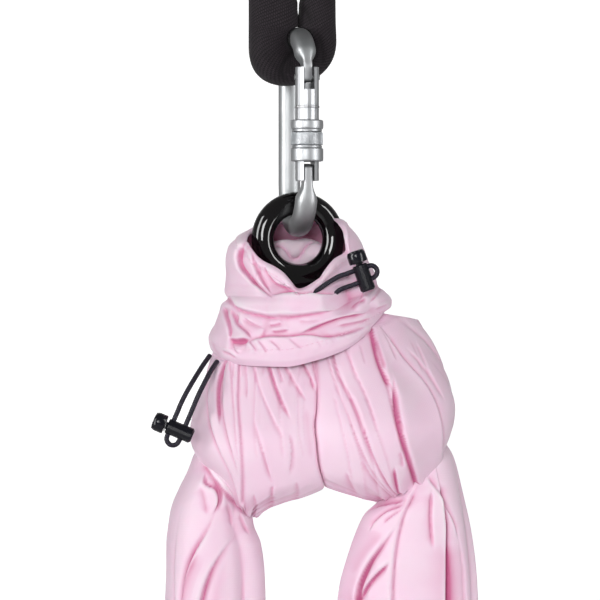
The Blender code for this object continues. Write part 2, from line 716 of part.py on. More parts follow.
def figure_solid(name, parent, finish=None, room=0.0):
    """Figure 8: two rings and the neck between them, or the coarser room that silk leaves for it."""
    steps, sides = (24, 8) if room else (32, 12)
    grow = 1 / math.cos(math.pi / sides) if room else 1.0
    small = Vector((0, 0, SMALL_RING_Z - BOTTOM_STOCK_Z))
    large = Vector((0, 0, LARGE_RING_Z - BOTTOM_STOCK_Z))
    small_r, large_r = (SMALL_TUBE_R + room) * grow, (LARGE_TUBE_R + room) * grow
    body = ring_piece(name, large, LARGE_RING_R, large_r, steps, sides, finish, parent)
    upper = ring_piece("upper", small, SMALL_RING_R, small_r, steps, sides, parent=parent)
    half = Vector((NECK_WIDTH / 2 + room, NECK_THICKNESS / 2 + room, NECK_HEIGHT / 2 + room))
    middle = Vector((0, 0, NECK_Z - BOTTOM_STOCK_Z))
    neck = block("neck", middle - half, middle + half, parent=parent)
    return combine(body, [upper, neck], "UNION")


# Collar. Its angle runs from the front (0) through the picture's right (90 degrees).
COLLAR_SIDES = 40
COLLAR_ROWS = 9


def collar_top(angle):
    """Height of the collar's gathered rim: high at the back, a V at the front."""
    dip = ((1 + math.cos(angle)) / 2) ** COLLAR_DIP_SHARPNESS
    return -COLLAR_BACK_TOP - COLLAR_FRONT_DIP * dip


def collar_hem(angle):
    """Height of the collar's lower hem, which slopes up to the right and the back."""
    tilt = HEM_SIDE_TILT * math.sin(angle) - HEM_FRONT_TILT * math.cos(angle)
    return -HEM_MIDDLE + tilt - HEM_SADDLE * math.cos(2 * angle)


def collar_halves(share, inset):
    """Half width and half depth of the collar at a share of the way from rim to hem."""
    spread = share ** 1.15
    half_width = COLLAR_TOP_HALF_WIDTH + (COLLAR_HEM_HALF_WIDTH - COLLAR_TOP_HALF_WIDTH) * spread
    half_depth = COLLAR_TOP_HALF_DEPTH + (COLLAR_HEM_HALF_DEPTH - COLLAR_TOP_HALF_DEPTH) * spread
    return half_width - inset, half_depth - inset


def collar_point(angle, share, inset):
    """A point on the collar's outer face, or inset towards its middle."""
    half_width, half_depth = collar_halves(share, inset)
    sway = math.sin(2 * angle + 1.1) + 0.6 * math.sin(3 * angle)
    wave = math.sin(math.tau * COLLAR_CRUMPLES * share + sway)
    crumple = COLLAR_CRUMPLE_DEPTH * math.sin(math.pi * share) * wave
    z = collar_top(angle) + (collar_hem(angle) - collar_top(angle)) * share
    x = COLLAR_X + (half_width + crumple) * math.sin(angle)
    return Vector((x, -(half_depth + crumple) * math.cos(angle), z))


def build_collar(silks):
    """The drawstring collar as one walled tube."""
    skins = []
    for inset in (0.0, COLLAR_WALL):
        rings = []
        for row in range(COLLAR_ROWS + 1):
            share = row / COLLAR_ROWS
            angles = [math.tau * k / COLLAR_SIDES for k in range(COLLAR_SIDES)]
            rings.append([collar_point(angle, share, inset) for angle in angles])
        skins.append(rings)
    shell_object("collar", skins[0], skins[1], "collar", silks)


def collar_room(point):
    """How far a point stands inside the room that the collar leaves, which widens below its hem."""
    x, y = point.x - COLLAR_X, point.y
    share = 0.5
    for _ in range(3):
        half_width, half_depth = collar_halves(share, COLLAR_WALL)
        angle = math.atan2(x / half_width, -y / half_depth)
        top, hem = collar_top(angle), collar_hem(angle)
        share = min(max((top - point.z) / (top - hem), 0.0), 1.0)
    wall = collar_point(angle, share, COLLAR_WALL + COLLAR_CLEARANCE)
    room = math.hypot(wall.x - COLLAR_X, wall.y)
    room += HEM_SWELL * max(0.0, hem - HEM_MARGIN - point.z)
    return room - math.hypot(x, y)


def fit_point(middle, reach, slope, outward, grow):
    """The furthest point of a reach that clears the collar and stays on its side of the split."""
    for step in range(FIT_STEPS):
        offset = reach * (1 - step / FIT_STEPS)
        x, y = middle.x + offset.x, middle.y + offset.y
        if outward < 0:
            x = min(x, SPLIT_X - GAP)
        else:
            x = max(x, SPLIT_X + GAP)
        point = Vector((x, y, middle.z + slope * y))
        if collar_room(point) + grow > 0:
            break
    return point


# Wrapped silks. Each row is height, outer edge, inner edge, front and back, in millimetres.
LEFT_WRAP_ROWS = [
    (-329.5, -31, 30, -24, 24), (-340, -38, 30, -30, 29), (-358, -46, 30, -38, 35),
    (-374, -54, 30, -43, 39), (-394, -60.5, 30, -45, 41), (-414, -59, 30, -43, 39),
    (-427, -49.5, 26, -37, 33), (-436, -40, 6, -28, 25), (-441, -34, -8, -17, 15),
    (-445, -29, -19, -7, 6),
]
RIGHT_WRAP_ROWS = [
    (-329.5, 40, -14, -25, 26), (-334, 46, -14, -28, 28), (-345, 60, -14, -33, 33),
    (-361, 71, -14, -39, 37), (-378, 79.5, -14, -43, 40), (-391, 82, -14, -44, 41),
    (-405, 77, -13, -42, 39), (-418, 71.5, -8, -37, 34), (-428, 64, 6, -28, 26),
    (-434, 57, 24, -17, 15), (-437.5, 51, 38, -7, 6),
]
WRAPS = (("silk_wrap_left", LEFT_WRAP_ROWS, -1), ("silk_wrap_right", RIGHT_WRAP_ROWS, 1))
WRAP_SIDES = 38
WRAP_SQUARENESS = 0.93
WRAP_STEP = 7.0 * MM
BAND_STEPS = 24

# Hanging ends. Each row is height, left and right edge, front and back, in millimetres.
LEFT_TAIL_ROWS = [
    (-404, -50, -30, -10, 14), (-416, -57, -24, -16, 22), (-430, -64, -22, -22, 27),
    (-441, -69, -24, -26, 30), (-452, -70.5, -23, -28, 31), (-466, -71, -19, -29, 31),
    (-490, -71, -17, -29, 31), (-540, -73, -17, -30, 32), (-600, -76, -18, -32, 34),
]
RIGHT_TAIL_ROWS = [
    (-396, 55, 68, -8, 14), (-407, 52, 77.4, -14, 19), (-416, 50, 82, -18, 22),
    (-428, 46, 85, -20, 23), (-439, 38.7, 87.5, -22, 24), (-452, 30, 90.5, -23, 24),
    (-466, 25, 92.4, -23, 23), (-490, 19.2, 94.5, -22, 22), (-540, 16, 95, -22, 22),
    (-600, 14, 96, -23, 23),
]
# Each main fold is its angle from the right (270 is the front), depth, width and drift on the way down.
LEFT_TAIL_FOLDS = [
    (238, 0.52, 9, -40), (262, 0.34, 8, -22), (318, 0.22, 14, 10), (20, 0.30, 12, 0),
    (68, 0.34, 11, 12), (112, 0.42, 12, -10), (160, 0.26, 13, 6),
]
RIGHT_TAIL_FOLDS = [
    (218, 0.40, 10, -34), (246, 0.20, 9, -18), (306, 0.54, 9, 14), (345, 0.18, 12, 0),
    (40, 0.34, 12, -8), (86, 0.40, 12, 12), (140, 0.32, 13, -8),
]
TAIL_SIDES = 36
TAIL_STEP = 14.0 * MM
FULL_TURN = 360.0
DEEPEST_FOLD = 0.62
FOLD_AT_TOP = 0.35
FOLD_GROWTH = 2.2

# Locks: middle, way to the button and way along the cords to the loop.
UPPER_LOCK = ((32.0, -30.0, -317.0), (-0.33, 0.0, 0.943), (0.943, 0.0, 0.33))
LOWER_LOCK = ((-65.4, -37.0, -398.2), (-0.92, 0.0, 0.39), (-0.39, 0.0, -0.92))

# Cord routes in millimetres, out of the collar, through the lock, round the loop and back.
CORD_POINT_SPACING = 2.6 * MM
UPPER_CORD_ROUTE = [
    (5.3, -31.0, -329.3), (9.8, -31.0, -326.3), (14.6, -30.6, -322.9), (19.75, -30.0, -319.84),
    (24.0, -30.0, -318.34), (27.77, -30.0, -317.0), (31.54, -30.0, -315.68), (35.5, -30.0, -314.3),
    (37.3, -30.0, -314.0), (38.9, -30.0, -314.8), (39.9, -30.0, -316.2), (40.0, -30.0, -317.9),
    (39.2, -30.0, -319.4), (37.7, -30.0, -320.5), (33.72, -30.0, -321.89), (29.95, -30.0, -323.2),
    (26.18, -30.0, -324.55), (21.93, -30.0, -326.05), (19.0, -29.8, -327.9), (16.8, -29.5, -330.3),
]
LOWER_CORD_ROUTE = [
    (-47.2, -14.5, -361.0), (-50.8, -22.0, -366.3), (-54.6, -29.0, -372.5), (-58.3, -34.6, -379.0),
    (-61.23, -37.0, -384.77), (-63.18, -37.0, -389.37), (-65.13, -37.0, -393.97), (-66.69, -37.0, -397.65),
    (-68.5, -37.0, -401.9), (-68.9, -37.0, -403.9), (-68.2, -37.0, -405.6), (-66.9, -37.0, -406.7),
    (-65.2, -37.0, -406.9), (-63.6, -37.0, -406.2), (-62.4, -37.0, -404.5), (-60.62, -37.0, -400.23),
    (-59.06, -37.0, -396.55), (-57.1, -37.0, -391.95), (-55.16, -37.0, -387.35), (-52.5, -36.3, -381.0),
    (-49.3, -33.5, -374.5), (-46.0, -28.5, -368.3), (-43.2, -22.0, -364.0),
]


def wrap_ring(row, top, outward, grow=0.0):
    """One level of a wrapped silk, pleated on its round side and flat where the two meet."""
    height, outer, inner, front, back = (v * MM for v in row)
    middle = Vector(((outer + inner) / 2, (front + back) / 2, height))
    half_x, half_y = abs(outer - inner) / 2 + grow, (back - front) / 2 + grow
    slope = WRAP_TOP_SLOPE * max(0.0, 1 - (top - height) / WRAP_SLOPE_FADE)
    lean = PLEAT_LEAN * (height - PLEAT_LEVEL) * outward
    pleat = WRAP_PLEAT_DEPTH * min(1.0, half_x / PLEAT_FULL_WIDTH)
    ring = []
    for k in range(WRAP_SIDES):
        a = math.tau * k / WRAP_SIDES
        c, s = math.cos(a), math.sin(a)
        reach = Vector((
            half_x * math.copysign(abs(c) ** WRAP_SQUARENESS, c),
            half_y * math.copysign(abs(s) ** WRAP_SQUARENESS, s),
        ))
        valley = 1 - abs(math.sin(WRAP_PLEATS * a / 2 + lean))
        reach *= 1 - min(0.9, pleat * valley ** 2 / reach.length)
        ring.append(fit_point(middle, reach, slope, outward, grow))
    return ring


def filled_rows(rows, step):
    """Rows at an even spacing read off a short table of key rows, in millimetres."""
    high, low = rows[0][0], rows[-1][0]
    count = round((high - low) * MM / step)
    out = []
    for k in range(count + 1):
        height = high + (low - high) * k / count
        values = [along([(-row[0], row[i]) for row in rows], -height) for i in range(1, len(rows[0]))]
        out.append((height, *values))
    return out


def wrap_solid(name, rows, outward, silks, grow=0.0, finish=None):
    """A wrapped silk before anything is cut from it."""
    rings = [wrap_ring(row, rows[0][0] * MM, outward, grow) for row in filled_rows(rows, WRAP_STEP)]
    return loft_object(name, rings, finish, silks, sharp=60)


def build_neck_band(figure_axis):
    """The silks' middle, a gathered band that lies round the figure 8's neck."""
    rings = []
    for k in range(BAND_STEPS):
        a = math.tau * k / BAND_STEPS
        outward = Vector((math.sin(a), -math.cos(a), 0.0))
        depth = outward.y * BAND_HALF_DEPTH
        z = NECK_Z + WRAP_TOP_SLOPE * depth
        middle = Vector((outward.x * BAND_HALF_WIDTH + RIG_X, depth, z))
        rings.append(circle(middle, outward, Vector((0, 0, 1)), BAND_RADIUS, 10))
    band = loft_object("silk_neck_band", rings, "silk", closed=True)
    combine(band, [figure_solid("room", figure_axis, room=FIGURE_ROOM)], "DIFFERENCE")


def build_wraps(silks, figure_axis):
    """The two gathered silks wrapped over the large ring, below their middle round the neck."""
    for name, rows, outward in WRAPS:
        wrap = wrap_solid(name, rows, outward, silks, finish="silk")
        combine(wrap, [figure_solid("room", figure_axis, room=FIGURE_ROOM)], "DIFFERENCE")


def tail_ring(row, folds, share):
    """One level of a hanging silk, drawn in at each of its main folds."""
    height, left, right, front, back = (v * MM for v in row)
    middle = Vector(((left + right) / 2, (front + back) / 2, height))
    half_x, half_y = (right - left) / 2, (back - front) / 2
    ring = []
    for k in range(TAIL_SIDES):
        a = FULL_TURN * k / TAIL_SIDES
        draw = 0.0
        for place, depth, width, drift in folds:
            off = (a - place - drift * (share - 1) + FULL_TURN / 2) % FULL_TURN - FULL_TURN / 2
            draw += depth * math.exp(-((off / width) ** 2))
        grown = FOLD_AT_TOP + (1 - FOLD_AT_TOP) * settle(share * FOLD_GROWTH)
        draw = min(draw, DEEPEST_FOLD) * grown
        turn = math.radians(a)
        reach = Vector((half_x * math.cos(turn), half_y * math.sin(turn), 0.0))
        ring.append(middle + reach * (1 - draw))
    return ring


def build_tails(silks):
    """The two silks' hanging ends, cut back to the wraps that they come out from."""
    for name, rows, folds, (_, wrap_rows, outward) in (
        ("left_tail", LEFT_TAIL_ROWS, LEFT_TAIL_FOLDS, WRAPS[0]),
        ("right_tail", RIGHT_TAIL_ROWS, RIGHT_TAIL_FOLDS, WRAPS[1]),
    ):
        levels = filled_rows(rows, TAIL_STEP)
        rings = [tail_ring(row, folds, k / (len(levels) - 1)) for k, row in enumerate(levels)]
        solid = loft_object(name, rings, "silk", silks, sharp=60)
        combine(solid, [wrap_solid("wrap_room", wrap_rows, outward, silks, 2 * GAP)], "DIFFERENCE")


def add_lock_frame(name, silks, centre, button, cord):
    """An empty at a lock's middle: X towards its button, Y along the cords towards the loop."""
    x = Vector(button).normalized()
    y = (Vector(cord) - x * x.dot(Vector(cord))).normalized()
    turn = Matrix((x, y, x.cross(y))).transposed()
    return add_empty(name, Vector(centre) * MM, silks, turn.to_euler())


def along_x(start, profile, sides, name, finish, parent):
    """A turned piece on the X axis, given as (place, radius) pairs from one end to the other."""
    rings = []
    for place, radius in profile:
        middle = Vector((start + place, 0, 0))
        rings.append(circle(middle, Vector((0, 1, 0)), Vector((0, 0, 1)), radius, sides))
    return loft_object(name, rings, finish, parent)


def build_lock(side, frame):
    """A cord lock: barrel with two cross holes, sprung plunger with two slots, and its spring."""
    low_end = -LOCK_LENGTH / 2
    barrel_end = low_end + LOCK_BARREL_LENGTH
    barrel_r = LOCK_BARREL_DIAMETER / 2
    stem_r = LOCK_STEM_DIAMETER / 2
    hole_r = CORD_HOLE / 2
    stem_end = low_end + LOCK_END_WALL + LOCK_PRESS + GAP
    first = stem_end + LOCK_STEM_WALL + hole_r
    cords = (first, first + CORD_SPACING)
    round_off = LOCK_ROUNDING
    profile = [
        (0.0, barrel_r - round_off), (round_off, barrel_r), (LOCK_BARREL_LENGTH - round_off / 2, barrel_r),
        (LOCK_BARREL_LENGTH, barrel_r - round_off / 2),
    ]
    barrel = along_x(low_end, profile, 16, side + "_lock_barrel", "lock", frame)
    bore_length = LOCK_BARREL_LENGTH
    bore = along_x(
        low_end + LOCK_END_WALL, [(0, stem_r + GAP), (bore_length, stem_r + GAP)], 14, "bore", None, frame
    )
    holes = []
    for place in cords:
        ends = Vector((place, -2 * barrel_r, 0)), Vector((place, 2 * barrel_r, 0))
        holes.append(rod("hole", *ends, hole_r, parent=frame))
    combine(barrel, [bore, *holes], "DIFFERENCE")

    cap_r = LOCK_CAP_DIAMETER / 2
    cap_end = LOCK_LENGTH / 2
    recess_r = cap_r - LOCK_CAP_WALL
    roof = cap_end - LOCK_CAP_ROOF
    cap_start = cap_end - LOCK_CAP_LENGTH
    profile = [
        (stem_end, stem_r), (roof, stem_r), (roof, recess_r), (cap_start, recess_r), (cap_start, cap_r),
        (cap_end - 2 * round_off, cap_r), (cap_end - round_off / 2, cap_r - round_off), (cap_end, cap_r / 2),
    ]
    plunger = along_x(0.0, profile, 14, side + "_lock_plunger", "lock", frame)
    slots = []
    for place in cords:
        low = (place - hole_r, -2 * barrel_r, -hole_r)
        high = (place + hole_r + LOCK_PRESS, 2 * barrel_r, hole_r)
        slots.append(block("slot", low, high, parent=frame))
    combine(plunger, slots, "DIFFERENCE")
    seat = GAP + LOCK_SPRING_WIRE / 2
    start = Vector((barrel_end + seat, 0, 0))
    length = roof - seat - start.x
    coil(
        side + "_lock_spring", start, Vector((1, 0, 0)), Vector((0, 1, 0)),
        LOCK_SPRING_DIAMETER / 2, length, LOCK_SPRING_TURNS, 9, LOCK_SPRING_WIRE, frame,
    )


def clean_scene():
    """Remove whatever the file holds."""
    for obj in list(bpy.data.objects):
        bpy.data.objects.remove(obj)


def main():
    clean_scene()
    rig = add_empty("rig_axis", (RIG_X, 0, 0), turn=(0, 0, RIG_YAW))
    build_sling(rig)
    swing = add_empty("carabiner_swing_axis", (0, 0, TOP_ARC_Z), rig)
    build_carabiner(swing)
    hinge = add_empty("gate_hinge_axis", (0, -BOW_RADIUS, HINGE_RISE), swing)
    build_gate(hinge)
    sleeve_axis = add_empty("sleeve_axis", (0, 0, SLEEVE_MIDDLE_Z - HINGE_Z), hinge)
    build_screw_sleeve(sleeve_axis)
    figure_axis = add_empty("figure_eight_swing_axis", (0, 0, BOTTOM_STOCK_Z - TOP_ARC_Z), swing)
    figure_solid("figure_eight", figure_axis, "black_alloy")
    build_neck_band(figure_axis)
    silks = add_empty("silks_axis", (0, 0, NECK_Z - DRAWN_NECK_Z))
    build_collar(silks)
    build_wraps(silks, figure_axis)
    build_tails(silks)
    for side, route, lock in (
        ("upper", UPPER_CORD_ROUTE, UPPER_LOCK),
        ("lower", LOWER_CORD_ROUTE, LOWER_LOCK),
    ):
        tube(side + "_drawcord", smooth_route(route, CORD_POINT_SPACING), CORD_DIAMETER, "cord", silks)
        build_lock(side, add_lock_frame(side + "_lock_axis", silks, *lock))


main()
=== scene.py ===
"""Looks for a rig of aerial silks: sling, screw gate carabiner, figure 8, collar and two silks.

Metres, +Z up. The camera side of the object is -Y and the picture's right is +X. The origin is
the hang point inside the sling's upper loop.
"""

from __future__ import annotations

import logging
import math
from dataclasses import dataclass
from enum import Enum
from functools import cache

import bmesh
import bpy
import numpy as np
from bpy.types import Material, Mesh, Modifier, Node, NodeSocket, NodeTree, Object
from mathutils import Matrix, Vector


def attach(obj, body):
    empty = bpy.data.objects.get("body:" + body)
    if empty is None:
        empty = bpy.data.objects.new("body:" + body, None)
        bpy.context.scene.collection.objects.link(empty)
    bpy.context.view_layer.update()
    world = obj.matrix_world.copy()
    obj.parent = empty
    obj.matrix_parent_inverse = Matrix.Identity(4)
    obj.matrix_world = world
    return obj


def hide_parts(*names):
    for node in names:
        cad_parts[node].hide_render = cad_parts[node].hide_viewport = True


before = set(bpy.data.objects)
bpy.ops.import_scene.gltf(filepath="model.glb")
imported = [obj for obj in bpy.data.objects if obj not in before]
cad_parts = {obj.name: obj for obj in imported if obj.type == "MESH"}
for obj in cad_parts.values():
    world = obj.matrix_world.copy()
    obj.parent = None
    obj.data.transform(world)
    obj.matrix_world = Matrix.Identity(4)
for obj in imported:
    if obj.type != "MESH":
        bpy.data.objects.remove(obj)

MM = 0.001
RIG_YAW = math.radians(12.0)
RIG_X = -1.0 * MM
LOG = logging.getLogger("aerial_silks")

# The photograph's frame: its side in picture points, its scale, and the height of its top edge
PICTURE_SIDE = 600.0
POINTS_PER_MM = 1.9
PICTURE_TOP = -174.0
CAMERA_DISTANCE = 2000.0
FILL = 0.28
CAMERA_HEIGHT = PICTURE_TOP - PICTURE_SIDE / POINTS_PER_MM / 2

# How soon a raised edge of cloth reaches its height, in picture points, and the strength, place
# and width of the painted highlight just over it
LIP_ROUNDING = 3.2
LIP_START = 0.3
LIP_HIGHLIGHT = 0.1
LIP_HIGHLIGHT_PLACE = 3.5
LIP_HIGHLIGHT_WIDTH = 3.0
# Strength of the painted shade along fold lines
FOLD_SHADE_GAIN = 1.2

# The share of a fold line over which its ends taper
TAPER = 0.25

Array = np.ndarray
Table = tuple[tuple[float, ...], ...]
Rows = tuple[tuple, ...]
Colour = tuple[float, float, float]
Place = tuple[float, float, float]
Station = tuple[tuple[float, float], tuple[float, float], float, float, float, float]

# Directions in the rig's frame, as rows that fit a line of any length
ACROSS = np.array([[1.0, 0.0, 0.0]])
BACKWARD = np.array([[0.0, 1.0, 0.0]])
UPWARD = np.array([[0.0, 0.0, 1.0]])


class Slot(Enum):
    """Material slots; each finish holds one."""

    SLING = "sling"
    YARN = "yarn"
    STEEL = "steel"
    DARK_STEEL = "dark_steel"
    RUBBER = "rubber"
    BLACK_ALLOY = "black_alloy"
    SILK = "silk"
    COLLAR = "collar"
    CORD = "cord"
    LOCK = "lock"


class Side(Enum):
    """Which of the two silks a piece belongs to, as the sign of its outer direction."""

    LEFT = -1
    RIGHT = 1


def settle(value: Array | float) -> Array:
    """Ease a share from 0 to 1, level at both ends."""
    held = np.clip(value, 0.0, 1.0)
    return held * held * (3 - 2 * held)


def bell(value: Array | float) -> Array:
    """A smooth bump of height 1 about 0."""
    return np.exp(-np.square(value))


def squared(value: Array, power: Array | float) -> Array:
    """Push a sine or cosine towards -1 and 1, so that a round section turns squarer."""
    return np.sign(value) * np.abs(value) ** power


def turns(count: int) -> Array:
    """Even angles once round, from 0."""
    return math.tau * np.arange(count) / count


def oval(limits: Array, across: Array, deep: Array) -> tuple[Array, Array]:
    """Places between four limits.

    Args:
        limits: the left, right, front and back limit.
        across: from -1 at the left limit to 1 at the right one.
        deep: from -1 at the front limit to 1 at the back one.

    Returns:
        The places' x and y.
    """
    left, right, front, back = limits
    x = (left + right) / 2 + (right - left) / 2 * across
    return x, (front + back) / 2 + (back - front) / 2 * deep


def read_table(rows: Table, at: Array) -> Array:
    """Read every column of a short key table at many places, on a smooth curve without overshoot.

    Args:
        rows: rows of (place, value, value, ...), with places that rise or fall throughout.
        at: the places to read.

    Returns:
        One row for each value column, one column for each place.
    """
    table = np.array(rows, float)
    if table[0, 0] > table[-1, 0]:
        table = table[::-1]
    places, values = table[:, 0], table[:, 1:]
    gaps = np.diff(places)[:, None]
    slopes = np.diff(values, axis=0) / gaps
    tangents = np.zeros_like(values)
    same = slopes[:-1] * slopes[1:] > 0
    mean = 2 * slopes[:-1] * slopes[1:] / np.where(same, slopes[:-1] + slopes[1:], 1.0)
    tangents[1:-1] = np.where(same, mean, 0.0)
    held = np.clip(at, places[0], places[-1])
    index = np.clip(np.searchsorted(places, held) - 1, 0, len(places) - 2)
    gap = gaps[index, 0]
    t = ((held - places[index]) / gap)[:, None]
    start, end = values[index], values[index + 1]
    lead, trail = tangents[index] * gap[:, None], tangents[index + 1] * gap[:, None]
    blend = (
        start * (2 * t ** 3 - 3 * t ** 2 + 1)
        + lead * (t ** 3 - 2 * t ** 2 + t)
        + end * (3 * t ** 2 - 2 * t ** 3)
        + trail * (t ** 3 - t ** 2)
    )
    return blend.T


def to_picture(points: Array) -> Array:
    """Project points to the photograph.

    Args:
        points: points in millimetres.

    Returns:
        Their picture points.
    """
    scale = POINTS_PER_MM * CAMERA_DISTANCE / (CAMERA_DISTANCE + points[..., 1])
    across = PICTURE_SIDE / 2 + points[..., 0] * scale
    down = PICTURE_SIDE / 2 - (points[..., 2] - CAMERA_HEIGHT) * scale
    return np.stack((across, down), axis=-1)


def grid_normals(grid: Array, closed_rows: bool = False) -> Array:
    """Find a grid's unit normals, which point away from its rows' middle.

    Args:
        grid: rows of points, closed round each row.
        closed_rows: whether the last row joins the first.

    Returns:
        One normal for each point.
    """
    round_step = np.roll(grid, -1, axis=1) - np.roll(grid, 1, axis=1)
    if closed_rows:
        down_step = np.roll(grid, -1, axis=0) - np.roll(grid, 1, axis=0)
    else:
        down_step = np.gradient(grid, axis=0)
    normals = np.cross(down_step, round_step)
    length = np.linalg.norm(normals, axis=-1, keepdims=True)
    normals = normals / np.maximum(length, 1e-9)
    outward = grid - grid.mean(axis=1, keepdims=True)
    if float((outward * normals).sum()) < 0:
        normals = -normals
    return normals


@dataclass(frozen=True)
class Crease:
    """A fold line on the cloth's front, drawn in picture points. Tables of fold lines hold its fields.

    Fields: the line's points, as x, y, x, y and so on; depth and width of its valley; lip, how far
    the cloth on the line's left (positive) or right (negative) stands over the other side with a
    rounded edge; shade, how much painted shade it adds, with a painted highlight just over a
    raised edge; reach, how far the raised side fades out; open ends aren't tapered. A line with
    no depth adds only painted shade.
    """

    path: tuple[float, ...]
    depth: float
    width: float
    lip: float = 0.0
    shade: float = 0.5
    reach: float = 14.0
    open_start: bool = False
    open_end: bool = False


def round_corners(path: tuple[float, ...], rounds: int = 2) -> Array:
    """Cut a broken line's corners until it reads as a curve.

    Args:
        path: the line's points, flat.
        rounds: how often the corners are cut.

    Returns:
        The curve's points, one row each.
    """
    points = np.array(path, float).reshape(-1, 2)
    for _ in range(rounds):
        first = points[:-1] * 0.75 + points[1:] * 0.25
        second = points[:-1] * 0.25 + points[1:] * 0.75
        middle = np.stack((first, second), axis=1).reshape(-1, 2)
        points = np.concatenate((points[:1], middle[1:-1], points[-1:]))
    return points


def line_distance(places: Array, path: tuple[float, ...]) -> tuple[Array, Array]:
    """Signed distance from a broken line, and the share of the way along it.

    Args:
        places: picture points, one row each.
        path: the line's own points.

    Returns:
        Distances, positive on the line's left as the picture is seen, and shares from 0 to 1.
    """
    knots = round_corners(path)
    spans = np.diff(knots, axis=0)
    lengths = np.linalg.norm(spans, axis=1)
    walked = np.concatenate(([0.0], np.cumsum(lengths)))
    best = np.full(len(places), 1e9)
    signed = np.zeros(len(places))
    share = np.zeros(len(places))
    for start, span, length, before in zip(knots, spans, lengths, walked):
        off = places - start
        t = np.clip((off @ span) / length ** 2, 0.0, 1.0)
        away = off - t[:, None] * span
        distance = np.linalg.norm(away, axis=1)
        turn = off[:, 0] * span[1] - off[:, 1] * span[0]
        nearer = distance < best
        best = np.where(nearer, distance, best)
        signed = np.where(nearer, distance * np.where(turn >= 0, 1.0, -1.0), signed)
        share = np.where(nearer, (before + t * length) / walked[-1], share)
    return signed, share


def fold_profile(away: Array) -> Array:
    """Painted shade across a fold: a narrow core and a wide soft edge."""
    return 0.62 * np.exp(-((away / 0.5) ** 1.5)) + 0.38 * np.exp(-((away / 1.7) ** 1.5))


def crease_effect(places: Array, crease: Crease) -> tuple[Array, Array]:
    """Work out what a crease does to the cloth.

    Args:
        places: picture points, one row each.
        crease: the crease.

    Returns:
        How far it moves the cloth out, in millimetres, and how much painted shade it adds, below 0
        for the painted highlight just over a raised edge.
    """
    signed, share = line_distance(places, crease.path)
    fade = np.ones(len(places))
    if not crease.open_start:
        fade *= settle(share / TAPER)
    if not crease.open_end:
        fade *= settle((1 - share) / TAPER)
    width = crease.width * (0.4 + 0.6 * fade)
    near = np.abs(signed)
    move = -crease.depth * np.exp(-((near / width) ** 1.25))
    # Painted shade across the fold
    shade = crease.shade * fold_profile(near / width)
    if crease.lip:
        over = signed if crease.lip > 0 else -signed
        lip = abs(crease.lip)
        edge = np.sqrt(1 - (1 - np.clip((over + LIP_START) / LIP_ROUNDING, 0, 1)) ** 2)
        top = lip * edge * np.exp(-np.maximum(over, 0) / crease.reach)
        valley = -crease.depth * np.exp(-((near / width) ** 1.1))
        move = np.where(over > -LIP_START, top, valley)
        side = np.where(over > 0, 0.35, 1.3)
        shade = crease.shade * fold_profile(near / (width * side))
        # Painted highlight just over the raised edge
        shade -= LIP_HIGHLIGHT * lip * bell((over - LIP_HIGHLIGHT_PLACE) / LIP_HIGHLIGHT_WIDTH)
    return move * fade, shade * fade * FOLD_SHADE_GAIN


def press_creases(grid: Array, creases: Rows) -> tuple[Array, Array]:
    """Press fold lines into the camera side of a grid of cloth.

    Args:
        grid: rows of points in millimetres, closed round each row.
        creases: a row with the fields of each fold line.

    Returns:
        The moved grid and each point's painted shade from 0 to 1, below 0 for a painted highlight.
    """
    normals = grid_normals(grid)
    facing = settle((-normals[..., 1] + 0.05) / 0.35).reshape(-1)
    places = to_picture(grid).reshape(-1, 2)
    move = np.zeros(len(places))
    shade = np.zeros(len(places))
    for row in creases:
        push, deepen = crease_effect(places, Crease(*row))
        move += push * facing
        shade = np.where(deepen > 0, np.maximum(shade, deepen * facing), shade + deepen * facing)
    moved = grid + normals * move.reshape(grid.shape[:2])[..., None]
    return moved, shade.reshape(grid.shape[:2])


def fan(
    seed: int, count: int, start: Table, end: Table, bow: float, spans: tuple[float, float],
    depth: float, shade: float,
) -> Rows:
    """A family of fine gather lines that run from one line of the picture to another.

    Args:
        seed: seed of the draw.
        count: number of lines.
        start: both ends of the line that they start on.
        end: both ends of the line that they run to.
        bow: how far their middles bend to the left.
        spans: the shortest and longest share of the way.
        depth: the deepest one's depth, in millimetres.
        shade: the deepest one's shade.

    Returns:
        A row of fields for each.
    """
    draw = np.random.default_rng(seed)
    first, last = np.array(start, float), np.array(end, float)
    lines = []
    for k in range(count):
        place = (k + 0.5 + draw.uniform(-0.4, 0.4)) / count
        a = first[0] + (first[1] - first[0]) * place
        b = last[0] + (last[1] - last[0]) * np.clip(place + draw.uniform(-0.06, 0.06), 0, 1)
        span = draw.uniform(*spans)
        bend = bow * (0.6 + 0.4 * draw.uniform()) * np.array([-1.0, 0.0])
        path = []
        for share in np.linspace(0, span, 6):
            point = a + (b - a) * share + bend * math.sin(math.pi * share)
            path += [float(point[0]), float(point[1])]
        size = draw.uniform(0.35, 1.0)
        lip = draw.choice((-1.0, 1.0)) * draw.uniform(0.2, 0.8) * size
        width = draw.uniform(1.1, 2.4)
        lines.append((tuple(path), depth * size, width, lip, shade * size, 7.0, True, span > 0.97))
    return tuple(lines)


def hollow_shade(grid: Array, rounds: int, strength: float) -> Array:
    """Painted shade for a grid's hollows (above 0) and painted highlight for its ridges (below 0)."""
    even = smooth_grid(grid, rounds)
    sunk = ((even - grid) * grid_normals(grid)).sum(axis=-1)
    return np.clip(sunk * strength, -0.5, 0.6)


def even_out(heights: Array, levels: Array, reach: float = 9.0, hold: float = 16.0) -> Array:
    """Smooth limits along their height, apart from the lowest stretch.

    Args:
        heights: the heights, falling.
        levels: one row of limits for each column of a level table.
        reach: how far the smoothing reaches.
        hold: length of the stretch that stays.

    Returns:
        The smoothed limits.
    """
    gaps = (heights[:, None] - heights[None, :]) / reach
    weights = np.exp(-gaps ** 2)
    weights /= weights.sum(axis=1, keepdims=True)
    share = settle((heights - heights[-1] - hold) / hold) * settle((heights[0] - heights) / hold)
    return levels + ((levels @ weights.T) - levels) * share


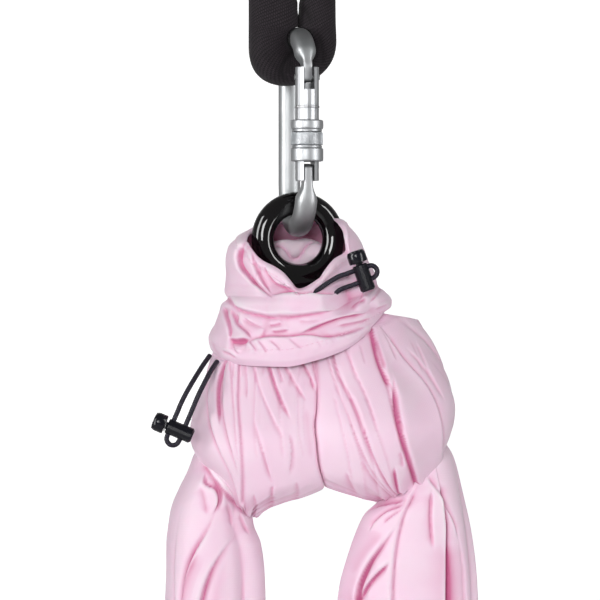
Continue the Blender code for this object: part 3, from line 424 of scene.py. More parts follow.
def smooth_grid(grid: Array, rounds: int) -> Array:
    """Even a grid out, with its first and last row held.

    Args:
        grid: rows of points, closed round each row.
        rounds: how often it is smoothed.

    Returns:
        The new points.
    """
    out = grid.copy()
    for _ in range(rounds):
        out = (np.roll(out, 1, axis=1) + 2 * out + np.roll(out, -1, axis=1)) / 4
        out[1:-1] = (out[:-2] + 2 * out[1:-1] + out[2:]) / 4
    return out


class Wave:
    """Smooth seeded variation made of a few sine waves."""

    def __init__(self, seed: int, terms: int, low: float, high: float) -> None:
        """Draw the waves' directions, lengths and phases.

        Args:
            seed: seed of the draw.
            terms: number of waves.
            low: lowest wave number.
            high: highest wave number.
        """
        draw = np.random.default_rng(seed)
        turn = draw.uniform(0, math.tau, terms)
        number = draw.uniform(low, high, terms)
        self.across = np.cos(turn) * number
        self.along = np.sin(turn) * number
        self.phase = draw.uniform(0, math.tau, terms)

    def at(self, across: Array, along: Array) -> Array:
        """Read the variation, from about -1 to 1, at two coordinates."""
        total = np.zeros(np.broadcast(across, along).shape)
        for a, b, phase in zip(self.across, self.along, self.phase):
            total += np.sin(a * across + b * along + phase)
        return total / math.sqrt(len(self.phase))


def grid_mesh(name: str, grid: Array, shade: Array | None = None, closed_rows: bool = False) -> Mesh:
    """Skin a grid of points in millimetres, closed round each row.

    Args:
        name: the mesh's name.
        grid: rows of points.
        shade: each point's painted shade, below 0 for a painted highlight, kept as the attribute "fold".
        closed_rows: whether the last row joins the first one, or both ends are closed with a fan.

    Returns:
        A smooth shaded mesh in metres, with a UV map in metres along the cloth.
    """
    rows, columns = grid.shape[:2]
    points = grid.reshape(-1, 3) * MM
    index = np.arange(rows * columns).reshape(rows, columns)
    upper = index if closed_rows else index[:-1]
    lower = np.roll(index, -1, axis=0) if closed_rows else index[1:]
    quads = np.stack((upper, lower, np.roll(lower, -1, axis=1), np.roll(upper, -1, axis=1)), axis=-1)
    faces = quads.reshape(-1, 4).tolist()
    values = np.zeros(rows * columns) if shade is None else shade.reshape(-1)
    if not closed_rows:
        for row, flip in ((index[0], False), (index[-1], True)):
            hub = len(points)
            points = np.vstack((points, points[row].mean(axis=0)))
            values = np.append(values, values[row].mean())
            after = np.roll(row, -1)
            pairs = zip(after, row) if flip else zip(row, after)
            faces += [(int(a), int(b), hub) for a, b in pairs]
    mesh = bpy.data.meshes.new(name)
    mesh.from_pydata(points.tolist(), [], faces)
    attribute = mesh.attributes.new("fold", "FLOAT", "POINT")
    attribute.data.foreach_set("value", values.astype(np.float32))
    add_cloth_uv(mesh, grid, closed_rows)
    mesh.shade_smooth()
    if not points_out(mesh):
        mesh.flip_normals()
    mesh.validate()
    return mesh


def points_out(mesh: Mesh) -> bool:
    """Whether a closed mesh's faces point outwards, by the sign of its volume."""
    form = bmesh.new()
    form.from_mesh(mesh)
    volume = form.calc_volume(signed=True)
    form.free()
    return volume > 0


def add_cloth_uv(mesh: Mesh, grid: Array, closed_rows: bool) -> None:
    """Lay a UV map in metres over a grid mesh, along its rows and down its columns.

    Args:
        mesh: the mesh.
        grid: its points in millimetres.
        closed_rows: whether the last row joins the first.
    """
    columns = grid.shape[1]
    round_step = np.linalg.norm(np.roll(grid, -1, axis=1) - grid, axis=-1).mean(axis=0)
    across = np.concatenate(([0.0], np.cumsum(round_step))) * MM
    down_step = np.linalg.norm(np.diff(grid, axis=0), axis=-1).mean(axis=1)
    down = np.concatenate(([0.0], np.cumsum(down_step))) * MM
    if closed_rows:
        down = np.append(down, down[-1] + down_step.mean() * MM)
    row, column = np.meshgrid(np.arange(len(down) - 1), np.arange(columns), indexing="ij")
    u = np.stack((across[column], across[column], across[column + 1], across[column + 1]), axis=-1)
    v = np.stack((down[row], down[row + 1], down[row + 1], down[row]), axis=-1)
    coordinates = np.zeros((len(mesh.loops), 2), np.float32)
    laid = np.stack((u, v), axis=-1).reshape(-1, 2)
    coordinates[: len(laid)] = laid
    layer = mesh.uv_layers.new(name="cloth")
    layer.data.foreach_set("uv", coordinates.reshape(-1))


def link_object(name: str, data: bpy.types.ID) -> Object:
    """Put a datablock on a new object in the scene."""
    obj = bpy.data.objects.new(name, data)
    bpy.context.scene.collection.objects.link(obj)
    return obj


def add_piece(name: str, mesh: bpy.types.ID, look: Look, body: str, node: str = "") -> Object:
    """Put a mesh or curve on an object that rides on a body.

    Args:
        name: the piece's name.
        mesh: its mesh or curve, drawn in the row frame.
        look: its finish.
        body: the CAD body that it moves with.
        node: the CAD node that it takes the place of, if any.

    Returns:
        The new object.
    """
    obj = link_object(name, mesh)
    mesh.materials.clear()
    mesh.materials.append(look.material)
    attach(obj, body)
    if node:
        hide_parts(node)
    LOG.info("%s rides on %s", name, body)
    return obj


# Shader parts


class Builder:
    """A short way to write a node tree."""

    def __init__(self, tree: NodeTree) -> None:
        """Keep the tree that nodes are added to."""
        self.tree = tree

    def feed(self, node: Node, links: dict[str | int, object]) -> None:
        """Link or fill a node's inputs.

        Args:
            node: the node.
            links: for each input, by name or number, a socket or a value.
        """
        for key, value in links.items():
            if isinstance(value, NodeSocket):
                self.tree.links.new(value, node.inputs[key])
            else:
                node.inputs[key].default_value = value

    def add(self, kind: str, links: dict[str | int, object] | None = None, **settings: object) -> Node:
        """Add a node, set it up and link or fill its inputs.

        Args:
            kind: the node's type.
            links: for each input, by name or number, a socket or a value.
            **settings: the node's own properties.

        Returns:
            The new node.
        """
        node = self.tree.nodes.new(kind)
        for key, value in settings.items():
            setattr(node, key, value)
        self.feed(node, links or {})
        return node

    def math(self, operation: str, *values: object) -> NodeSocket:
        """Add a Math node and return its output."""
        return self.add("ShaderNodeMath", dict(enumerate(values)), operation=operation).outputs[0]

    def ramp(self, value: object, low: float, high: float) -> NodeSocket:
        """Map a value from between two limits to 0 to 1, held at both ends."""
        links = {"Value": value, "From Min": low, "From Max": high}
        return self.add("ShaderNodeMapRange", links, interpolation_type="SMOOTHSTEP").outputs["Result"]

    def clamp(self, value: object) -> NodeSocket:
        """Hold a value between 0 and 1."""
        return self.add("ShaderNodeClamp", {"Value": value}).outputs[0]

    def mix(self, share: object, first: object, second: object) -> NodeSocket:
        """Mix two colours and return the result."""
        return self.add("ShaderNodeMix", {0: share, 6: first, 7: second}, data_type="RGBA").outputs[2]

    def bump(self, height: NodeSocket, strength: float, distance: float) -> NodeSocket:
        """Turn a height into a normal."""
        links = {"Height": height, "Strength": strength, "Distance": distance}
        return self.add("ShaderNodeBump", links).outputs["Normal"]

    def fold(self) -> NodeSocket:
        """Read a point of cloth's painted shade, from the attribute "fold"."""
        return self.add("ShaderNodeAttribute", attribute_name="fold").outputs["Fac"]

    def mottle(self, patch: float, grain: float) -> Node:
        """Place the mottle group on the object's own coordinates."""
        place = self.add("ShaderNodeTexCoord").outputs["Object"]
        links = {"Vector": place, "Patch Scale": patch, "Grain Scale": grain}
        return self.add("ShaderNodeGroup", links, node_tree=mottle_group())

    def weave(self, **sizes: float) -> NodeSocket:
        """Place the weave group on the cloth's UV map and return its height."""
        uv = self.add("ShaderNodeUVMap", uv_map="cloth").outputs["UV"]
        return self.add("ShaderNodeGroup", {"Vector": uv, **sizes}, node_tree=weave_group()).outputs["Height"]

    def seen(self) -> NodeSocket:
        """1 for rays that come from the camera, also through glass, and 0 for others."""
        rays = self.add("ShaderNodeLightPath").outputs
        return self.math("MAXIMUM", rays["Is Camera Ray"], rays["Is Transmission Ray"])


def new_group(
    name: str, inputs: dict[str, tuple[str, object]], outputs: dict[str, str], kind: str = "ShaderNodeTree",
) -> tuple[Builder, Node, Node]:
    """Start a node group with named sockets.

    Args:
        name: the group's name.
        inputs: for each input, its socket type and value.
        outputs: for each output, its socket type.
        kind: the group's own type.

    Returns:
        A builder for the group, its input node and its output node.
    """
    group = bpy.data.node_groups.new(name, kind)
    for key, (socket_type, value) in inputs.items():
        socket = group.interface.new_socket(key, in_out="INPUT", socket_type=socket_type)
        if value is not None:
            socket.default_value = value
    for key, socket_type in outputs.items():
        group.interface.new_socket(key, in_out="OUTPUT", socket_type=socket_type)
    return Builder(group), group.nodes.new("NodeGroupInput"), group.nodes.new("NodeGroupOutput")


@cache
def mottle_group() -> NodeTree:
    """Build the group of soft patches and fine grain, for colour and roughness.

    Returns:
        The group, built once.
    """
    build, source, target = new_group(
        "mottle",
        {"Vector": ("NodeSocketVector", None), "Patch Scale": ("NodeSocketFloat", 60.0),
         "Grain Scale": ("NodeSocketFloat", 900.0)},
        {"Patches": "NodeSocketFloat", "Grain": "NodeSocketFloat"},
    )
    patch, grain = (
        build.add(
            "ShaderNodeTexNoise",
            {"Vector": source.outputs["Vector"], "Scale": source.outputs[scale], "Detail": detail},
        ).outputs["Fac"]
        for scale, detail in (("Patch Scale", 3.0), ("Grain Scale", 2.0))
    )
    build.feed(target, {"Patches": build.ramp(patch, 0.35, 0.65), "Grain": grain})
    return build.tree


@cache
def weave_group() -> NodeTree:
    """Build the group of ribs that cross a cloth's UV map: knit stitches or twill, by pitch and slant.

    Returns:
        The group, built once.
    """
    build, source, target = new_group(
        "weave",
        {"Vector": ("NodeSocketVector", None), "Across": ("NodeSocketFloat", 0.001),
         "Along": ("NodeSocketFloat", 0.001), "Slant": ("NodeSocketFloat", 0.0)},
        {"Height": "NodeSocketFloat"},
    )
    parts = build.add("ShaderNodeSeparateXYZ", {0: source.outputs["Vector"]}).outputs
    angles = []
    for key, lead, other, sign in (("Across", "X", "Y", "ADD"), ("Along", "Y", "X", "SUBTRACT")):
        lean = build.math("MULTIPLY", parts[other], source.outputs["Slant"])
        turned = build.math("MULTIPLY", build.math(sign, parts[lead], lean), math.tau)
        angles.append(build.math("DIVIDE", turned, source.outputs[key]))
    across, along = angles
    shift = build.math("MULTIPLY", build.math("SINE", along), 0.6)
    bowed = build.math("ADD", build.math("MULTIPLY", across, 0.5), shift)
    wale = build.math("ABSOLUTE", build.math("SINE", bowed))
    course = build.math("ABSOLUTE", build.math("SINE", build.math("MULTIPLY", along, 0.5)))
    height = build.math("ADD", build.math("MULTIPLY", wale, 0.6), build.math("MULTIPLY", course, 0.4))
    build.feed(target, {"Height": height})
    return build.tree


def new_material(name: str) -> tuple[Material, Builder, Node]:
    """Start a material.

    Args:
        name: the material's name.

    Returns:
        The material, a builder for it and its Principled shader.
    """
    material = bpy.data.materials.new(name)
    material.use_nodes = True
    return material, Builder(material.node_tree), material.node_tree.nodes["Principled BSDF"]


@dataclass(frozen=True)
class Finish:
    """What one material looks like."""

    name: str
    slot: Slot

    def inputs(self, build: Builder) -> dict[str, object]:
        """The shader's inputs, as sockets and values."""
        raise NotImplementedError

    def build(self) -> Material:
        """Make the material.

        Returns:
            The material.
        """
        material, build, shader = new_material(self.name)
        build.feed(shader, self.inputs(build))
        return material


@dataclass(frozen=True)
class ClothFinish(Finish):
    """Knitted stretch cloth with a soft sheen, with painted shade in its folds and painted highlight on its
    ridges.
    """

    colour: Colour = (0.84, 0.60, 0.737)
    # Colour of the painted highlight on ridges and raised edges, and of the random pale patches
    pale: Colour = (0.85, 0.735, 0.80)
    # Colour of the painted shade in folds and hollows
    deep: Colour = (0.60, 0.15, 0.31)
    wale: float = 0.0011
    course: float = 0.0013
    relief: float = 0.00006
    roughness: float = 0.55
    sheen: float = 0.35

    def inputs(self, build: Builder) -> dict[str, object]:
        """Lay out the nodes.

        Args:
            build: the material's builder.

        Returns:
            The shader's inputs.
        """
        mottle = build.mottle(38.0, 1600.0).outputs
        fold = build.fold()
        patches = build.math("MULTIPLY", mottle["Patches"], 0.25)
        # Random pale patches, plus the painted highlight where the fold attribute is below 0
        patches_and_painted_highlight = build.math("ADD", patches, build.math("MULTIPLY", fold, -1.1))
        base = build.mix(build.clamp(patches_and_painted_highlight), (*self.colour, 1), (*self.pale, 1))
        grain = build.math("MULTIPLY", mottle["Grain"], 0.12)
        return {
            # Painted shade: the colour turns deep where the fold attribute is above 0
            "Base Color": build.mix(build.clamp(fold), base, (*self.deep, 1)),
            "Roughness": build.math("ADD", grain, self.roughness - 0.06),
            "Normal": build.bump(build.weave(Across=self.wale, Along=self.course), 0.5, self.relief),
            "Sheen Weight": self.sheen,
            "Sheen Roughness": 0.35,
            "Sheen Tint": (1.0, 0.92, 0.97, 1.0),
            "Specular IOR Level": 0.35,
            "Subsurface Weight": 0.12,
            "Subsurface Radius": (0.004, 0.0018, 0.0026),
            "Subsurface Scale": 0.5,
        }


@dataclass(frozen=True)
class TwillFinish(Finish):
    """Coarse woven sling cloth with slanting ribs, paler on their crests, and painted shade in its creases.
    """

    colour: Colour = (0.004, 0.003, 0.004)
    thread: Colour = (0.030, 0.022, 0.028)
    across: float = 0.0011
    along: float = 0.0017
    slant: float = 0.55
    relief: float = 0.00022

    def inputs(self, build: Builder) -> dict[str, object]:
        """Lay out the nodes.

        Args:
            build: the material's builder.

        Returns:
            The shader's inputs.
        """
        height = build.weave(Across=self.across, Along=self.along, Slant=self.slant)
        mottle = build.mottle(55.0, 1400.0).outputs
        uneven = build.math("ADD", build.math("MULTIPLY", mottle["Grain"], 0.8), 0.4)
        share = build.math("MULTIPLY", build.ramp(height, 0.35, 0.95), uneven)
        # Painted shade: the paler crests are held back where the fold attribute is high
        crest_share_outside_painted_shade = build.math("MULTIPLY", share, build.math("SUBTRACT", 1.0, build.fold()))
        return {
            "Base Color": build.mix(crest_share_outside_painted_shade, (*self.colour, 1), (*self.thread, 1)),
            "Roughness": build.math("ADD", build.math("MULTIPLY", mottle["Patches"], 0.1), 0.75),
            "Normal": build.bump(height, 1.0, self.relief),
            "Sheen Weight": 0.04,
            "Sheen Roughness": 0.5,
            "Specular IOR Level": 0.12,
        }


@dataclass(frozen=True)
class MetalFinish(Finish):
    """Plated or anodised metal with fine drawing lines and faint handling marks."""

    colour: Colour = (0.28, 0.29, 0.295)
    worn: Colour = (0.35, 0.35, 0.36)
    roughness: float = 0.5
    spread: float = 0.1
    metallic: float = 1.0
    specular: float = 0.5
    relief: float = 0.000005

    def inputs(self, build: Builder) -> dict[str, object]:
        """Lay out the nodes.

        Args:
            build: the material's builder.

        Returns:
            The shader's inputs.
        """
        mottle = build.mottle(85.0, 2400.0).outputs
        share = build.math("MULTIPLY", mottle["Patches"], 0.6)
        marks = build.math("MULTIPLY", mottle["Grain"], self.spread)
        return {
            "Base Color": build.mix(share, (*self.colour, 1), (*self.worn, 1)),
            "Roughness": build.math("ADD", marks, self.roughness - self.spread / 2),
            "Normal": build.bump(mottle["Grain"], 0.4, self.relief),
            "Metallic": self.metallic,
            "Specular IOR Level": self.specular,
        }


@dataclass(frozen=True)
class BraidFinish(Finish):
    """Braided drawcord."""

    colour: Colour = (0.004, 0.003, 0.009)
    thread: Colour = (0.016, 0.012, 0.028)

    def inputs(self, build: Builder) -> dict[str, object]:
        """Lay out the nodes.

        Args:
            build: the material's builder.

        Returns:
            The shader's inputs.
        """
        place = build.add("ShaderNodeTexCoord").outputs["Object"]
        links = {"Vector": place, "Scale": 420.0, "Distortion": 6.0, "Detail": 1.0}
        waves = build.add("ShaderNodeTexWave", links, bands_direction="DIAGONAL").outputs["Fac"]
        crest = build.ramp(waves, 0.3, 0.9)
        return {
            "Base Color": build.mix(crest, (*self.colour, 1), (*self.thread, 1)),
            "Roughness": build.math("SUBTRACT", 0.5, build.math("MULTIPLY", crest, 0.12)),
            "Normal": build.bump(waves, 0.6, 0.00025),
            "Sheen Weight": 0.02,
            "Specular IOR Level": 0.22,
        }


class Look(Enum):
    """The object's finishes."""

    SILK = ClothFinish("silk_knit", Slot.SILK)
    COLLAR = ClothFinish("collar_knit", Slot.COLLAR, (0.82, 0.575, 0.715), (0.84, 0.72, 0.79))
    THREAD = ClothFinish("sewing_thread", Slot.COLLAR, (0.84, 0.52, 0.68), relief=0.00002)
    SLING = TwillFinish("sling_twill", Slot.SLING)
    YARN = TwillFinish("load_yarn", Slot.YARN, (0.55, 0.53, 0.48), (0.8, 0.78, 0.72))
    CORD = BraidFinish("drawcord_braid", Slot.CORD)
    STEEL = MetalFinish("satin_steel", Slot.STEEL)
    GATE = MetalFinish("gate_steel", Slot.STEEL, (0.31, 0.32, 0.33), roughness=0.47)
    GRIP = MetalFinish("grip_steel", Slot.STEEL, (0.31, 0.33, 0.345), (0.39, 0.40, 0.42))
    PIN = MetalFinish("pin_steel", Slot.DARK_STEEL, (0.22, 0.22, 0.23), (0.35, 0.35, 0.35))
    ALLOY = MetalFinish(
        "black_anodised", Slot.BLACK_ALLOY, (0.002, 0.0015, 0.002), (0.004, 0.003, 0.0035),
        roughness=0.045, spread=0.02, metallic=0.0, specular=0.42, relief=0.000002,
    )
    RUBBER = MetalFinish(
        "ring_rubber", Slot.RUBBER, (0.015, 0.015, 0.015), (0.03, 0.03, 0.03),
        roughness=0.6, metallic=0.0, specular=0.3,
    )
    LOCK = MetalFinish(
        "lock_plastic", Slot.LOCK, (0.003, 0.003, 0.006), (0.006, 0.006, 0.011),
        roughness=0.2, metallic=0.0, specular=0.25,
    )

    @property
    def material(self) -> Material:
        """The finish's material, made when it is first used."""
        return bpy.data.materials.get(self.value.name) or self.value.build()


# Camera, lamps and backdrop


@dataclass(frozen=True)
class Lamp:
    """A softbox that faces the rig's middle.

    Fields: its place from that middle and its size, in metres; its power in watts; whether it
    lights matte faces, and whether it shows in reflections.
    """

    name: str
    place: Place
    size: tuple[float, float]
    power: float
    matte: bool = True
    shine: bool = True

    def build(self) -> None:
        """Make the lamp."""
        light = bpy.data.lights.new(self.name, "AREA")
        light.shape = "RECTANGLE"
        light.size, light.size_y = self.size
        light.energy = self.power
        x, y, rise = self.place
        obj = link_object(self.name, light)
        obj.location = Vector((x, y, CAMERA_HEIGHT * MM + rise))
        aim = Vector((0.0, 0.0, CAMERA_HEIGHT * MM)) - obj.location
        obj.rotation_euler = aim.to_track_quat("-Z", "Y").to_euler()
        obj.visible_diffuse = self.matte
        obj.visible_glossy = self.shine
        obj.visible_camera = False


LAMPS = (
    Lamp("left_strip", (-1.5, -0.75, 0.15), (0.3, 1.2), 6.0, shine=False),
    Lamp("right_strip", (1.5, -0.75, 0.15), (0.3, 1.2), 6.0, shine=False),
    Lamp("front_box", (-0.4, -2.25, 0.32), (0.7, 0.7), 29.0),
    Lamp("left_panel", (-1.25, -0.75, 0.16), (0.5, 1.8), 38.0, matte=False),
    Lamp("right_panel", (1.3, -0.75, 0.16), (0.34, 1.8), 25.0, matte=False),
    Lamp("back_left", (-0.45, 1.8, 0.2), (0.6, 1.2), 5.5, shine=False),
    Lamp("back_right", (0.45, 1.8, 0.2), (0.6, 1.2), 5.5, shine=False),
)


@dataclass
class Studio:
    """Camera at the photograph's angle, pale backdrop and soft lamps. Sizes are in metres."""

    sensor: float = 36.0
    clip: tuple[float, float] = (0.01, 30.0)
    floor: float = -1.35
    floor_front: float = -3.2
    back: float = 2.2
    back_top: float = 2.6
    bend: float = 0.9
    bend_steps: int = 12
    half_width: float = 3.5
    glow: float = 0.6

    def add_camera(self) -> None:
        """Put the camera in front of the rig, level, at the middle of the photograph's frame."""
        camera = bpy.data.cameras.new("camera")
        camera.sensor_width = self.sensor
        camera.lens = self.sensor * CAMERA_DISTANCE * POINTS_PER_MM / PICTURE_SIDE
        camera.clip_start, camera.clip_end = self.clip
        obj = link_object("camera", camera)
        obj.location = (0.0, -CAMERA_DISTANCE * MM, CAMERA_HEIGHT * MM)
        obj.rotation_euler = (math.radians(90), 0.0, 0.0)
        bpy.context.scene.camera = obj

    def add_world(self) -> None:
        """White to the camera and through glass, and a plain level on the object."""
        world = bpy.data.worlds.new("world")
        world.use_nodes = True
        bpy.context.scene.world = world
        build = Builder(world.node_tree)
        strength = build.math("ADD", build.math("MULTIPLY", build.seen(), 1 - FILL), FILL)
        build.feed(world.node_tree.nodes["Background"], {"Strength": strength, "Color": (1.0, 1.0, 1.0, 1.0)})

    def add_backdrop(self) -> None:
        """A pale floor that sweeps up into a backdrop behind the rig."""
        bend_start = self.back - self.bend
        outline = [(self.floor_front, self.floor), (bend_start, self.floor)]
        for k in range(1, self.bend_steps + 1):
            a = math.radians(90 * k / self.bend_steps)
            y = bend_start + self.bend * math.sin(a)
            outline.append((y, self.floor + self.bend - self.bend * math.cos(a)))
        outline.append((self.back, self.back_top))
        mesh = bpy.data.meshes.new("backdrop")
        points = [(x, y, z) for x in (-self.half_width, self.half_width) for y, z in outline]
        count = len(outline)
        mesh.from_pydata(points, [], [(k, k + count, k + count + 1, k + 1) for k in range(count - 1)])
        mesh.shade_smooth()
        mesh.materials.append(self.backdrop_material())
        link_object("backdrop", mesh)

    def backdrop_material(self) -> Material:
        """White where the camera sees it, matte to every other ray, and clear from behind.

        Returns:
            The backdrop's material.
        """
        material, build, shader = new_material("backdrop_white")
        build.feed(shader, {
            "Base Color": (0.9, 0.9, 0.9, 1.0),
            "Roughness": 0.9,
            "Emission Color": (1.0, 1.0, 1.0, 1.0),
            "Emission Strength": build.math("MULTIPLY", build.seen(), self.glow),
        })
        behind = build.add("ShaderNodeNewGeometry").outputs["Backfacing"]
        clear = build.add("ShaderNodeBsdfTransparent").outputs["BSDF"]
        mixed = build.add("ShaderNodeMixShader", {0: behind, 1: shader.outputs["BSDF"], 2: clear})
        build.feed(material.node_tree.nodes["Material Output"], {"Surface": mixed.outputs[0]})
        return material

    def build(self) -> None:
        """Build the whole studio."""
        bpy.context.scene.view_settings.view_transform = "Standard"
        self.add_camera()
        self.add_world()
        self.add_backdrop()
        for lamp in LAMPS:
            lamp.build()
        LOG.info("studio built")


# Drawcords


@dataclass
class Drawcord:
    """A drawcord that comes out of the collar, passes its lock, turns and goes back in."""

    name: str
    node: str
    route: Table
    locks: tuple[str, ...]
    diameter: float = 2.6
    steps: int = 6

    def line(self) -> list[Vector]:
        """Draw a smooth curve through the route.

        Returns:
            Its points in metres.
        """
        points = [Vector(p) * MM for p in self.route]
        dense: list[Vector] = []
        for i in range(len(points) - 1):
            before, start = points[max(i - 1, 0)], points[i]
            end, after = points[i + 1], points[min(i + 2, len(points) - 1)]
            for step in range(self.steps):
                t = step / self.steps
                rise = (end - before) * t
                bend = (2 * before - 5 * start + 4 * end - after) * t * t
                turn = (3 * start - before - 3 * end + after) * t ** 3
                dense.append(0.5 * (2 * start + rise + bend + turn))
        dense.append(points[-1])
        return dense

    def build(self) -> None:
        line = self.line()
        curve = bpy.data.curves.new(self.name, "CURVE")
        curve.dimensions = "3D"
        curve.bevel_depth = self.diameter / 2 * MM
        curve.bevel_resolution = 5
        curve.use_fill_caps = True
        spline = curve.splines.new("POLY")
        spline.points.add(len(line) - 1)
        for point, place in zip(spline.points, line):
            point.co = (*place, 1.0)
        obj = add_piece(self.name, curve, Look.CORD, "silks", self.node)


UPPER_CORD_ROUTE = (
    (5.3, -31.0, -329.3), (9.8, -31.0, -326.3), (14.6, -30.6, -322.9), (19.75, -30.0, -319.84),
    (24.0, -30.0, -318.34), (27.77, -30.0, -317.0), (31.54, -30.0, -315.68), (35.5, -30.0, -314.3),
    (37.3, -30.0, -314.0), (38.9, -30.0, -314.8), (39.9, -30.0, -316.2), (40.0, -30.0, -317.9),
    (39.2, -30.0, -319.4), (37.7, -30.0, -320.5), (33.72, -30.0, -321.89), (29.95, -30.0, -323.2),
    (26.18, -30.0, -324.55), (21.93, -30.0, -326.05), (19.2, -29.5, -327.8), (17.0, -28.5, -330.2),
)
LOWER_CORD_ROUTE = (
    (-47.2, -14.5, -361.0), (-50.8, -22.0, -366.3), (-54.6, -29.0, -372.5), (-58.3, -34.6, -379.0),
    (-61.23, -37.0, -384.77), (-63.18, -37.0, -389.37), (-65.13, -37.0, -393.97), (-66.69, -37.0, -397.65),
    (-68.5, -37.0, -401.9), (-68.9, -37.0, -403.9), (-68.2, -37.0, -405.6), (-66.9, -37.0, -406.7),
    (-65.2, -37.0, -406.9), (-63.6, -37.0, -406.2), (-62.4, -37.0, -404.5), (-60.62, -37.0, -400.23),
    (-59.06, -37.0, -396.55), (-57.1, -37.0, -391.95), (-55.16, -37.0, -387.35), (-52.5, -36.3, -381.0),
    (-49.3, -33.5, -374.5), (-46.0, -28.5, -368.3), (-43.2, -22.0, -364.0),
)


# Hard parts, drawn in the rig's own frame and then turned with it


def rig_to_row(grid: Array) -> Array:
    """Turn points from the rig's frame to the row's frame.

    Args:
        grid: points in millimetres.

    Returns:
        The turned points.
    """
    c, s = math.cos(RIG_YAW), math.sin(RIG_YAW)
    out = grid.copy()
    out[..., 0] = grid[..., 0] * c - grid[..., 1] * s + RIG_X / MM
    out[..., 1] = grid[..., 0] * s + grid[..., 1] * c
    return out


def sweep(
    centres: Array, sides_a: Array, sides_b: Array, half_a: Array | float, half_b: Array | float, count: int,
    square: Array | float = 1.0,
) -> Array:
    """Rings of a swept bar.

    Args:
        centres: middle of each ring.
        sides_a: unit direction of each ring's first half width, or one row for all.
        sides_b: unit direction of its second half width, in the same way.
        half_a: first half widths, or one for all.
        half_b: second half widths, or one for all.
        count: points round a ring.
        square: 1 for an ellipse and less for a squarer section, for all rings or as a column.

    Returns:
        A grid of points.
    """
    a = turns(count)
    grid = centres[:, None, :]
    for side, half, wave in ((sides_a, half_a, np.cos(a)), (sides_b, half_b, np.sin(a))):
        grid = grid + side[:, None, :] * (np.reshape(half, (-1, 1)) * squared(wave, square))[..., None]
    return grid


def turned(profile: Table, centre: Place, axis: Array, side: Array, count: int) -> Array:
    """Turn an outline about an axis.

    Args:
        profile: the outline's points, as distances along the axis and away from it.
        centre: the axis's own zero.
        axis: the axis's unit direction.
        side: the unit direction in which the turn starts.
        count: points round a ring.

    Returns:
        A grid of points.
    """
    a = turns(count)[:, None]
    spoke = np.cos(a) * side + np.sin(a) * np.cross(axis, side)
    return np.array([np.array(centre) + axis * along + spoke * radius for along, radius in profile])


def rounded_ends(length: Array, radius: float) -> Array:
    """How much of a bar's width is left near both of its ends, where they are rounded off."""
    from_end = np.minimum(length, length[-1] - length)
    share = np.clip(from_end / radius, 0.0, 1.0)
    return np.sqrt(np.maximum(1 - (1 - share) ** 2, 0.02))


@dataclass
class Carabiner:
    """The bent steel frame, drawn down to a tongue at the hinge and a nose at the latch."""

    bow_radius: float = 22.5
    stock: float = 5.7
    top_arc: float = -216.8
    bottom_arc: float = -270.4
    hinge: float = -215.9
    eye: float = 2.85
    nose_top: float = -261.0
    nose_run: float = 1.0
    nose_ease: float = 9.0
    nose_round: float = 2.6
    tongue_half: float = 2.6
    tongue_depth: float = 4.3
    tongue_run: float = 8.4
    tongue_ease: float = 7.0
    flat_square: float = 0.45
    bow_square: float = 0.86

    def path(self) -> tuple[Array, Array]:
        """Lay out the bar's middle line in the Y-Z plane, from the tongue to the nose.

        Returns:
            The line's points, and its outward direction at each.
        """
        arc = np.linspace(0, 180, 97)
        tongue = np.linspace(self.hinge - self.eye, self.top_arc, 14)[:-1]
        spine = np.linspace(self.top_arc, self.bottom_arc, 30)[1:-1]
        nose = np.linspace(self.bottom_arc, self.nose_top, 24)[1:]
        runs = (
            (0 * tongue, tongue), (arc, 0 * arc + self.top_arc), (0 * spine + 180, spine),
            (arc + 180, 0 * arc + self.bottom_arc), (0 * nose + 360, nose),
        )
        degrees, height = (np.concatenate(parts) for parts in zip(*runs))
        turn = np.radians(degrees)
        outward = np.column_stack((-np.cos(turn), np.sin(turn)))
        return outward * self.bow_radius + np.column_stack((0 * height, height)), outward

    def build(self) -> None:
        """Make the frame, thick at the bows and drawn down to the tongue and the nose."""
        path, outward = self.path()
        steps = np.linalg.norm(np.diff(path, axis=0), axis=1)
        length = np.concatenate(([0.0], np.cumsum(steps)))
        to_nose = length[-1] - length
        from_arc = length - (self.top_arc - self.hinge + self.eye)
        before_arc = to_nose - (self.nose_top - self.bottom_arc)
        top = settle((from_arc - self.tongue_run) / self.tongue_ease)
        full = np.minimum(top, settle((before_arc - self.nose_run) / self.nose_ease))
        half_x = self.tongue_half + (self.stock - self.tongue_half) * full
        half_x *= np.minimum(1.0, rounded_ends(length, 0.8) + 0.25)
        short = np.clip(self.eye - length, 0.0, None)
        eye = np.sqrt(np.maximum(self.eye ** 2 - short ** 2, 0.05))
        depth = eye + (self.tongue_depth - self.eye) * settle((length - self.eye) / 6.0)
        nose_end = np.clip(to_nose / self.nose_round, 0.0, 1.0)
        half_r = (depth + (self.stock - depth) * full) * np.sqrt(np.maximum(1 - (1 - nose_end) ** 2, 0.02))
        square = self.flat_square + (self.bow_square - self.flat_square) * full
        centres = np.column_stack((np.zeros(len(path)), path))
        sides = np.column_stack((np.zeros(len(path)), outward))
        grid = sweep(centres, ACROSS, sides, half_x, half_r, 40, square[:, None])
        mesh = grid_mesh("carabiner_bow", rig_to_row(grid))
        add_piece("carabiner_bow", mesh, Look.STEEL, "carabiner", "carabiner_frame")


